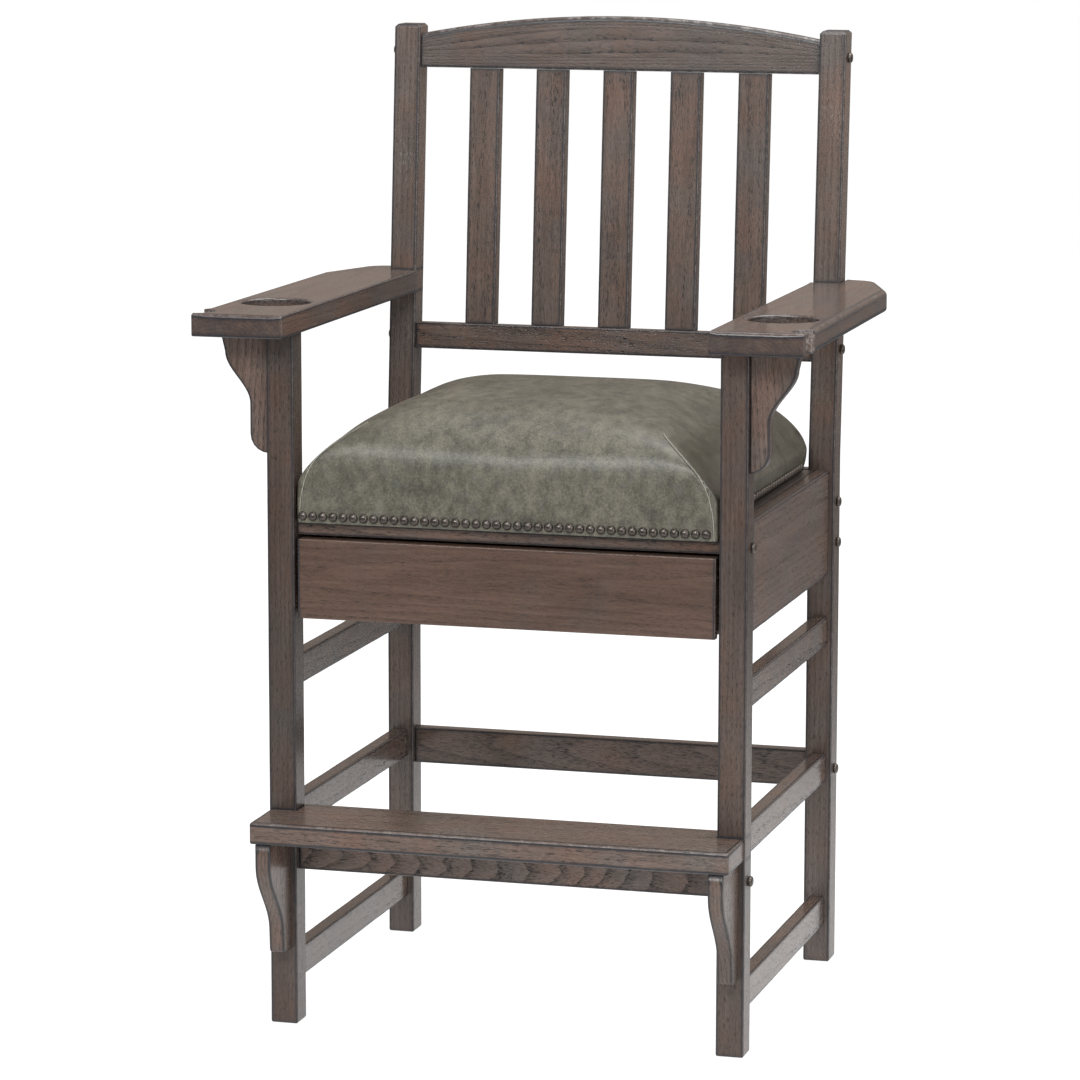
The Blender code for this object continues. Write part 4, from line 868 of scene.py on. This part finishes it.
BIRCH = (0.50, 0.38, 0.25), (0.38, 0.26, 0.15)
hidden = {
    bare_wood("birch_across", *BIRCH, "x"): ["drawer_back", "drawer_bottom"],
    bare_wood("birch_along", *BIRCH, "y"): ["drawer_side_left", "drawer_side_right"],
    bare_wood("seat_plywood", (0.46, 0.35, 0.22), (0.30, 0.20, 0.12), "x", 0.7, 3.0): ["seat_deck"],
    bare_wood("inner_hardwood", (0.21, 0.15, 0.11), (0.13, 0.09, 0.065), "y"):
        ["drawer_runner_left", "drawer_runner_right", "drawer_stop"]
        + [f"corner_block_{place}_{name}" for place in ("front", "back") for name in SIDES],
}
for finish, nodes in hidden.items():
    for node in nodes:
        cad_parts[node].data.materials.clear()
        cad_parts[node].data.materials.append(finish)
print("hidden pieces:", sum(len(nodes) for nodes in hidden.values()))

# %% [markdown]
# ## The stuffed seat
# The seat is a foam dome under a leather cover, which is pulled down over the sides and nailed.
# Across the chair it is flat and falls late, along the chair it falls early and roundly, and the
# lower of the two profiles holds, blended on the diagonals. The powers were fitted to the outline.
# A plain subdivided box would look like a pillow. So the cover is a grid of points that starts a
# little smaller than it should be, and a short cloth simulation with air pressure inside swells
# it, as stuffing does, while the nailed lower part is pinned.

# %% Lay out the cover
SEAT_BASE, SEAT_WALL, SEAT_CROWN = 640.3, 31.0, 98.8
SEAT_HALF_WIDTH, SEAT_HALF_DEPTH = 265.5, 236.5
# Each ring's share of the wall's height and how far it is drawn in, then its drop and its way back.
WALL_RINGS = (0.85, 0.0), (0.7, 0.08), (0.52, 0.2), (0.35, 0.35), (0.18, 0.62), (0.0, 1.0)
HEM_RINGS = (6, 0.3), (12, 0.8), (17.4, 1.1), (18.4, 1.5), (18.4, 3.5), (17.4, 4.0), (1.0, 4.2)


def crown_share(u, v):
    """(a^-4.7 + b^-4.7 - 1)^(-1 / 4.7): the lower of two profiles, blended. a = 1 - |u|^p, with p
    from 4.3 in front to 4.9 behind. b = (1 - |v|^q)^0.27, with q 2.6 in front and 1.9 behind."""
    across = np.maximum(1 - np.abs(u) ** (4.29 + 0.29 * (v + 1)), 1e-6)
    along = np.maximum(1 - np.abs(v) ** np.where(v < 0, 2.63, 1.94), 1e-9) ** 0.27
    return (across**-4.7 + along**-4.7 - 1) ** (-1 / 4.7)


def seat_plan(u, v, draw=0.0):
    """Where (u, v) lies on the plan: squeezed between the front legs, drawn in lower down behind
    them, and pulled in at the four corners by a high power of |u v|."""
    behind = (v + 1) * SEAT_HALF_DEPTH
    squeeze = 3.5 * np.clip(1 - np.maximum(behind - LEG_DEPTH, 0) / 80, 0, 1) ** 2
    corner = 3.2 * np.abs(u * v) ** 40
    tuck = draw * np.clip((behind - 25) / 40, 0, 1)
    x = u * (SEAT_HALF_WIDTH - np.maximum(tuck, squeeze)) - np.sign(u) * corner
    y = (v + 1) * SEAT_HALF_DEPTH - draw * (v + 1) / 2 - np.sign(v) * corner
    return x, y


def seat_cover(count, shrink):
    """A grid over the top, closer together at its borders, then rings from its border down the
    sides, round the hem in front and up behind it. Gives the points and faces. In front and behind,
    where the dome is steepest, row t lies 1.12 t^2.4 / (t^1.4 + 0.12) from the border."""
    even = np.linspace(-1, 1, count)
    t = 1 - np.abs(even)
    rows = np.sign(even) * (1 - 1.12 * t**2.4 / (t**1.4 + 0.12))
    v, u = np.meshgrid(rows, 0.55 * even + 0.45 * np.sin(even * np.pi / 2), indexing="ij")
    x, y = seat_plan(u, v)
    height = SEAT_BASE + SEAT_WALL + (SEAT_CROWN - shrink) * crown_share(u, v)
    dome = np.stack([x, y, height], -1).reshape(-1, 3)
    index = np.arange(count * count).reshape(count, count)
    loop = np.concatenate([index[0, :-1], index[:-1, -1], index[-1, :0:-1], index[:0:-1, 0]])
    edge_u, edge_v = u.ravel()[loop], v.ravel()[loop]
    rings = []
    for height, draw in WALL_RINGS:
        x, y = seat_plan(edge_u, edge_v, 6 * draw)
        rings.append(np.stack([x, y, SEAT_BASE + SEAT_WALL * height + 0 * x], -1))
    lowest = rings[-1]
    front = np.clip(1.6 - (edge_v + 1) * SEAT_HALF_DEPTH / 5, 0, 1)
    for drop, back in HEM_RINGS:
        rings.append(lowest + np.stack([0 * front, back * front, -drop * front], -1))
    points = np.concatenate([dome, *rings])
    ring_index = count * count + np.arange(len(rings) * len(loop)).reshape(len(rings), -1)
    border = np.concatenate([loop[None], ring_index])
    cells = np.stack([index[:-1, :-1], index[:-1, 1:], index[1:, 1:], index[1:, :-1]], -1).reshape(-1, 4)
    ahead = np.roll(border, -1, 1)
    sides = np.stack([border[:-1], border[1:], ahead[1:], ahead[:-1]], -1).reshape(-1, 4)
    return points, cells.tolist() + sides.tolist() + [border[-1].tolist()]


COVER_COUNT = 111
cover_points, cover_faces = seat_cover(COVER_COUNT, 3.0)
print("cover:", len(cover_points), "points,", len(cover_faces), "faces")


# %% Swell the cover
def swell(cover_points, cover_faces, last, frames=20, cap=5.0, passes=50):
    """Run a cloth simulation with air pressure on a copy of the cover's points before last, the
    lower ones pinned, and give where all points end, no more than cap from where they started. The
    way that each point went is averaged with its neighbours', which irons out small ridges."""
    points = cover_points[:last]
    faces = [face for face in cover_faces if max(face) < last]
    mesh = bpy.data.meshes.new("swelling_cover")
    mesh.from_pydata((points * MM).tolist(), [], faces)
    cover = bpy.data.objects.new("swelling_cover", mesh)
    bpy.context.collection.objects.link(cover)
    pinned = cover.vertex_groups.new(name="nailed")
    height = points[:, 2] - SEAT_BASE
    firm = np.clip(1 - (height - 12) / 22, 0, 1)
    for level in np.linspace(0, 1, 9)[1:]:
        chosen = np.flatnonzero(np.abs(firm - level) <= 1 / 16)
        pinned.add(chosen.tolist(), float(level), "REPLACE")
    cloth = cover.modifiers.new("leather", "CLOTH")
    cloth.settings.vertex_group_mass = "nailed"
    cloth.settings.quality = 4
    cloth.settings.mass = 0.6
    cloth.settings.tension_stiffness = cloth.settings.compression_stiffness = 25
    cloth.settings.bending_stiffness = 4
    cloth.settings.use_pressure = True
    cloth.settings.uniform_pressure_force = 4
    cloth.settings.effector_weights.gravity = 0
    cloth.collision_settings.use_collision = False
    cloth.point_cache.frame_end = frames
    scene = bpy.context.scene
    for step in range(1, frames + 1):
        scene.frame_set(step)
    done = cover.evaluated_get(bpy.context.evaluated_depsgraph_get())
    flat = np.empty(len(points) * 3)
    done.data.vertices.foreach_get("co", flat)
    moved = flat.reshape(-1, 3) / MM - points
    quads = np.array(faces)
    near = np.concatenate([quads[:, [k, (k + 1) % 4]] for k in range(4)])
    near = np.concatenate([near, near[:, ::-1]])
    neighbours = np.bincount(near[:, 0])[:, None]
    for _ in range(passes):
        total = np.zeros_like(moved)
        np.add.at(total, near[:, 0], moved[near[:, 1]])
        moved = (moved + total / neighbours) / 2
    reach = np.linalg.norm(moved, axis=1)
    bpy.data.objects.remove(cover)
    bpy.data.meshes.remove(mesh)
    scene.frame_set(1)
    print(f"swelled by {reach.mean():.2f} mm, at most {reach.max():.2f} mm")
    swollen = cover_points.copy()
    swollen[:last] += moved * np.minimum(1, cap / np.maximum(reach, 1e-9))[:, None]
    return swollen


on_walls = len(WALL_RINGS) * 4 * (COVER_COUNT - 1)
cover_points = swell(cover_points, cover_faces, COVER_COUNT**2 + on_walls)
print("the cover spans", np.ptp(cover_points, axis=0).round(1).tolist(), "mm")

# %% [markdown]
# ## Where the seams run
# A seam joins the front of the cover to its side, and so at each corner. It goes straight up from
# the hem a little inside the corner and then bends away over the dome. Rays shot at the cover find
# where it lies, whatever shape the simulation gave. Two marks are kept at the cover's points: the
# distance to the seam, with a sign that says on which side of it, so that the groove comes out
# sharper than the mesh, and the distance to the seam's upper end.

# %% Find places on the leather
leather_tree = BVHTree.FromPolygons(cover_points.tolist(), cover_faces[:-1])


def on_leather(starts, toward):
    """Where rays from the starts meet the cover, and the way out there, without rays that miss."""
    found = [leather_tree.ray_cast(Vector(start), Vector(toward)) for start in starts]
    spots = np.array([place for place, normal, face, away in found if place])
    up = np.array([normal for place, normal, face, away in found if place])
    return spots, up * -np.sign(up @ np.array(toward))[:, None]


SEAM_INSET, SEAM_END = 10.0, 79.0
HALF_SPAN = SEAT_HALF_WIDTH - 3.5


def seam_depth(inset):
    """How far behind the front the seam lies: 1.6 + 0.005 * (inset - 10) ^ 2.15."""
    return 1.6 + 0.005 * np.maximum(inset - SEAM_INSET, 0) ** 2.15


def spaced_out(spots):
    """The same line with its points 1 mm apart."""
    run = np.concatenate([[0], np.cumsum(np.linalg.norm(np.diff(spots, axis=0), axis=1))])
    return np.stack([np.interp(np.arange(0, run[-1], 1.0), run, column) for column in spots.T], 1)


def seam_line(side, end):
    """Points 1 mm apart along a seam at a corner, from the hem upwards; side and end are 1 or -1.
    The line is averaged over 37 mm, which takes out the bend between its two parts."""
    height = np.arange(624.0 if end < 0 else 642.0, 684.0, 3.0)
    from_corner = 6 + 10 * (np.maximum(height - 640, 0) / 43) ** 2
    upright_y = SEAT_HALF_DEPTH + end * 300 + 0 * height
    upright = np.stack([side * (HALF_SPAN - from_corner), upright_y, height], 1)
    inset = np.linspace(19, SEAM_END, 40)
    over_y = SEAT_HALF_DEPTH + end * (SEAT_HALF_DEPTH - seam_depth(inset))
    over = np.stack([side * (HALF_SPAN - inset), over_y, 0 * inset + 900], 1)
    lower, upper = on_leather(upright, (0, -end, 0))[0], on_leather(over, (0, 0, -1))[0]
    spots = spaced_out(np.concatenate([lower, upper]))
    padded = np.concatenate([2 * spots[:1] - spots[18:0:-1], spots, 2 * spots[-1:] - spots[-2:-20:-1]])
    smooth = np.stack([np.convolve(column, np.full(37, 1 / 37), "valid") for column in padded.T], 1)
    return spaced_out(np.array([leather_tree.find_nearest(Vector(spot))[0] for spot in smooth]))


seams = {}
for name, side in SIDES.items():
    for place, end in (("front", -1), ("back", 1)):
        seams[f"{place}_{name}"] = seam_line(side, end)
reaches = [np.linalg.norm(cover_points[:, None] - line[None], axis=2) for line in seams.values()]
away = np.stack([reach.min(1) for reach in reaches])
to_end = np.stack([reach.shape[1] - 1.0 - reach.argmin(1) for reach in reaches])
nearest = away.argmin(0)
cover_inset = HALF_SPAN - np.abs(cover_points[:, 0])
cover_depth = SEAT_HALF_DEPTH - np.abs(cover_points[:, 1] - SEAT_HALF_DEPTH)
in_front = (cover_inset > SEAM_INSET) & (cover_depth < seam_depth(cover_inset))
seam_mark = away.min(0) * np.where(in_front, 1, -1)
seam_run = to_end[nearest, np.arange(len(nearest))]
print("seams:", {name: len(line) for name, line in seams.items()}, "mm long")

# %% [markdown]
# ## Leather
# The leather is olive grey, mottled by its dye, with a fine pebbled grain, a low sheen and a few
# creases where it is pulled down at the sides. Cells of a Voronoi texture give the pebbles, and
# noise of several sizes gives the dye.


# %% The finish for leather
def leather():
    """Dye is broad noise plus fine noise; grain is the distance to the edges of small cells."""
    make = Finish("olive_leather")
    place = make.node("TexCoord", out="Object")
    seam, along = make.mark("seam"), make.mark("seam_run")
    broad = make.noise(make.scaled(place, 1, 1.3, 1.6), 11.0, 3.0, 0.55)
    middle = make.noise(make.scaled(place, 1, 0.8, 0.8), 68.0, 4.0, 0.64)
    speck = make.noise(place, 420.0, 2.0, 0.6)
    dye = (broad * 0.26 + middle * 0.58 + speck * 0.50 - 0.17).ramp(0.27, 0.79)
    colour = make.mix(dye, (0.040, 0.038, 0.029), (0.147, 0.137, 0.102))
    tint = make.noise(place, 75.0, 2.0).ramp(0.55, 0.75)
    colour = make.mix(tint * 0.35, colour, (0.085, 0.088, 0.086))
    cell = make.node("TexVoronoi", {"feature": "DISTANCE_TO_EDGE"}, {"Vector": place, "Scale": 620.0})
    pebble = cell.ramp(0.0, 0.16)
    crease = make.drawn_out(place, 60, 9, 3.0, 0.6)
    pulled = abs(make.split(place)[0]).ramp(0.215, 0.262)
    distance = abs(seam)
    held = along.ramp(0.0, 6.0)
    groove_and_shade = distance.ramp(2.4, 0.4) * held
    thread = distance.ramp(0.9, 0.35) * held
    puff = distance.ramp(8.0, 2.5) * distance.ramp(0.8, 2.6) * held
    # Painted shade: the colour darkens in the seam's furrow, which the bump also sinks.
    colour = make.mix(groove_and_shade * 0.30, colour, (0.05, 0.048, 0.040))
    colour = make.mix(thread * 0.4, colour, (0.30, 0.29, 0.24))
    colour = make.mix((1 - pebble) * 0.16, colour, (0.05, 0.048, 0.038))
    roughness = broad * 0.08 + middle * 0.12 + (1 - pebble) * 0.06 + 0.24
    height = pebble * 0.10 + speck * 0.12 + crease * pulled * 2.0 + broad * 1.2
    return make.finished(colour, roughness, height - groove_and_shade * 1.2 + puff * 0.6, 0.5, 0.8)


LEATHER = leather()
cushion = put("leather_seat", cover_points, cover_faces, LEATHER, "seat_cushion", slot="olive_leather",
              seam=seam_mark, seam_run=seam_run)
smoother = cushion.modifiers.new("smoother", "SUBSURF")
smoother.levels = smoother.render_levels = 1

# %% [markdown]
# ## Nails and stitches
# Dome-headed nails hold the leather all round, and a row of stitches holds each seam. They are
# many, so each has only a few dozen faces and all of a row are one mesh: one small template is
# turned and moved by a table of places, which is faster than an object for each. The places come
# from rays again, so that the nails sit on the leather.

# %% Places for the nails
def scatter(template, faces, spots, up, forward):
    """Copies of a template, whose axes are turned to forward, up x forward and up at each spot."""
    up = up / np.linalg.norm(up, axis=1)[:, None]
    side = np.cross(up, forward)
    side /= np.linalg.norm(side, axis=1)[:, None]
    ahead = np.cross(side, up)
    turned_axes = np.stack([ahead, side, up], 1)
    points = np.einsum("pk,nkc->npc", template, turned_axes) + spots[:, None]
    shift = (np.arange(len(spots)) * len(template)).tolist()
    copies = [[corner + jump for corner in face] for jump in shift for face in faces]
    return points.reshape(-1, 3), copies


NAIL_PITCH, NAIL_RADIUS, NAIL_HEIGHT, NAIL_SIDES = 12.8, 5.7, 4.2, 14
front_x = (np.arange(40) - 19.5) * NAIL_PITCH - 2.5
front_nails = on_leather(np.stack([front_x, 0 * front_x - 60, 0 * front_x + 630.5], 1), (0, 1, 0))
side_y = 44 + np.arange(31) * NAIL_PITCH
side_nails = {}
for name, side in SIDES.items():
    starts = np.stack([0 * side_y + side * 330, side_y, 0 * side_y + 650], 1)
    side_nails[name] = on_leather(starts, (-side, 0, 0))
print("nails:", len(front_x), "in front and", len(side_y), "on each side")

# %% [markdown]
# The nails are dark bronze, mottled by noise between a dark and a lighter brown, and so are the bolts'
# heads.


# %% Make the nails
def bronze(name, light, dark, gloss):
    make = Finish(name, Metallic=0.85)
    place = make.node("TexCoord", out="Object")
    worn = make.noise(place, 300.0, 2.0, 0.5)
    broad = make.noise(place, 90.0, 2.0)
    colour = make.mix((worn * 1.3 + broad * 0.6 - 0.5).clamp(), dark, light)
    return make.finished(colour, worn * 0.3 + gloss - 0.12, worn, 0.1, 0.3)


NAIL_BRONZE = bronze("nail_bronze", (0.16, 0.138, 0.122), (0.060, 0.052, 0.048), 0.30)
BOLT_BRONZE = bronze("bolt_bronze", (0.20, 0.17, 0.15), (0.055, 0.047, 0.043), 0.30)
dome_turn = np.radians([0, 0, 22, 44, 64, 80])
lift = [-0.8, 0.3, 0.3, 0.3, 0.3, 0.3]
nail_profile = np.stack([NAIL_RADIUS * np.cos(dome_turn), NAIL_HEIGHT * np.sin(dome_turn) + lift], 1)
nail_rings = turned(nail_profile, (0, 0), NAIL_SIDES).reshape(-1, 3)
nail_faces = tube_faces(len(nail_profile), NAIL_SIDES)
for row, (spots, up) in {"front": front_nails, **side_nails}.items():
    up = up + dice.normal(0, 0.05, up.shape)
    template = nail_rings * (1 if row == "front" else (0.88, 0.88, 1.3))
    points, faces = scatter(template, nail_faces, spots, up, (0.3, 0.2, 1.0))
    put(f"nails_{row}", points, faces, NAIL_BRONZE, slot="dark_bronze")
print("each nail:", len(nail_rings), "points and", len(nail_faces), "faces")

# %% Make the stitches
STITCH_PITCH, STITCH_HALF, STITCH_RADIUS, STITCH_SIDES = 3, 1.7, 0.42, 6
THREAD = Finish("pale_thread", Roughness=0.6)
twist = THREAD.noise(THREAD.node("TexCoord", out="Object"), 900.0, 2.0)
THREAD.put(Base_Color=THREAD.mix(twist, (0.25, 0.24, 0.20), (0.38, 0.37, 0.32)))
stitch_turn = np.radians([30, 60, 90, 120, 150])
stitch_profile = np.stack([STITCH_RADIUS * np.sin(stitch_turn), -STITCH_HALF * np.cos(stitch_turn)], 1)
stitch_rings = turned(stitch_profile, (0, 0), STITCH_SIDES)[..., [2, 0, 1]].reshape(-1, 3)
for name, line in seams.items():
    spots = line[1:-1:STITCH_PITCH]
    way = np.gradient(spots, axis=0)
    up = spots - (0, SEAT_HALF_DEPTH, SEAT_BASE - 60)
    points, faces = scatter(stitch_rings, tube_faces(len(stitch_profile), STITCH_SIDES), spots, up, way)
    put(f"seam_stitches_{name}", points, faces, THREAD.material, slot="olive_leather")
    print(f"seam_stitches_{name}: {len(spots)} stitches")

# %% [markdown]
# ## Bolts
# Dome-headed bolts hold the two side frames together. Each is a turned profile: a shank and a
# short round head. It is made lying along x at its place, and those of the back lean with it.

# %% Make the bolts
BOLT_START, BOLT_SIDES = 237.3, 28
BOLT_PROFILE = [  # radius, distance from the inner end
    (3.2, 0), (3.2, 60), (5.2, 60), (6.2, 60.3), (6.5, 61.2), (6.4, 62.8), (5.8, 64.0), (4.4, 64.8),
    (2.2, 65.1),
]
bolt_places = {  # through the chair, height, bend
    "crest": (BACK_MIDDLE, (CREST_LOW + CREST_HIGH) / 2, lean),
    "lower_back": (BACK_MIDDLE, sum(LOWER_BACK) / 2, lean),
    "seat_upper": (494, 598, None), "seat_lower": (494, 546, None), "stretcher": (494, 251.5, None),
    "seat_front": (23, 613.7, None), "foot_apron": (21.5, 212, None),
}
rings = turned(BOLT_PROFILE, (0, 0), BOLT_SIDES)
faces = tube_faces(len(BOLT_PROFILE), BOLT_SIDES)
for place, (through, height, bend) in bolt_places.items():
    for name, side in SIDES.items():
        laid = rings[..., [2, 0, 1]] + (BOLT_START, through, height)
        laid[..., 0] *= side
        laid = bend(laid) if bend else laid
        bolt = f"bolt_{place}_{name}"
        put(f"dome_{bolt}", laid, faces, BOLT_BRONZE, bolt, slot="dark_bronze")

# %% [markdown]
# ## Floor and light
# The chair stands on a plain white floor. A backdrop sheet would need a bend and more light, so
# the world is white wherever the camera looks past the floor, and the floor adds its own white
# for the camera only, which leaves a soft shadow at the feet. What polished wood mirrors is set on
# its own: a studio table is bright round the chair and gets darker further off, and the room
# above it is dim but for the lamps. So the lower rails shine and the upper ones stay brown. The
# room's back wall is warmer, and the arms' tops take that tint. A long lamp above the camera
# draws the soft band over the front of the leather.

# %% Make the floor
floor_mesh = bpy.data.meshes.new("floor")
corner_x, corner_y = np.meshgrid([-9.0, 9.0], [-9.0, 9.0])
floor_points = np.stack([corner_x, corner_y, 0 * corner_x - 0.0004], -1).reshape(-1, 3)
floor_mesh.from_pydata(floor_points.tolist(), [], [(0, 1, 3, 2)])
floor = bpy.data.objects.new("floor", floor_mesh)
bpy.context.collection.objects.link(floor)
ground = Finish("floor_white", Base_Color=(0.9, 0.9, 0.9, 1), Roughness=0.9, Specular_IOR_Level=0.0)
seen, mirrored = ground.rays()
place = ground.node("TexCoord", out="Object")
away = ground.node("VectorMath", {"operation": "LENGTH"}, {0: place}, 1)
lit = 1.05 - away.ramp(0.3, 3.2) * 0.9
glow = ground.node("Emission", None, {"Color": (1, 1, 1, 1), "Strength": seen * 1.27 + mirrored * lit})
shader_out = Wire(ground, ground.shader.outputs[0])
mixed = ground.node("MixShader", None, {0: seen * 0.72 + mirrored, 1: shader_out, 2: glow})
ground.link(mixed, ground.tree.nodes["Material Output"].inputs["Surface"])
floor_mesh.materials.append(ground.material)
print("floor:", *floor.dimensions.xy, "m")

# %% Light the scene
DIFFUSE_LIGHT = 0.69
world = bpy.data.worlds.new("studio")
world.use_nodes = True
bpy.context.scene.world = world
sky = Drawing(world.node_tree)
right, back, above = sky.split(sky.node("TexCoord", out="Generated"))
behind = back.ramp(-0.2, 0.8)
glossy = right.ramp(0.1, 0.9) * 0.2 + behind * 0.17 + above.ramp(0.1, 0.9) * 0.3 + 0.17
seen, mirrored = sky.rays()
strength = seen + (1 - seen) * (mirrored * glossy + (1 - mirrored) * DIFFUSE_LIGHT)
background = world.node_tree.nodes["Background"]
sky.link(sky.mix(mirrored * behind, (1, 1, 1), (1.0, 0.85, 0.75)), background.inputs["Color"])
sky.link(strength, background.inputs["Strength"])


def softbox(name, place, aim, size, power):
    """A rectangular lamp that faces a point."""
    data = bpy.data.lights.new(name, "AREA")
    data.shape, data.size, data.size_y, data.energy = "RECTANGLE", *size, power
    lamp = bpy.data.objects.new(name, data)
    lamp.location = place
    lamp.rotation_euler = (Vector(aim) - Vector(place)).to_track_quat("-Z", "Y").to_euler()
    bpy.context.collection.objects.link(lamp)


softbox("overhead", (0.9, 0.3, 3.3), (0, 0, 0.7), (2.6, 2.6), 90)
softbox("strip", (-0.1, -3.0, 2.6), (0, 0, 0.75), (2.4, 1.0), 80)
softbox("key", (-2.4, -3.0, 2.4), (0, 0, 0.7), (1.4, 1.4), 8)
softbox("fill", (3.0, -2.4, 1.2), (0, 0, 0.6), (1.6, 1.6), 28)
bpy.context.scene.view_settings.view_transform = "Standard"
print("lamps:", [lamp.name for lamp in bpy.data.lights])
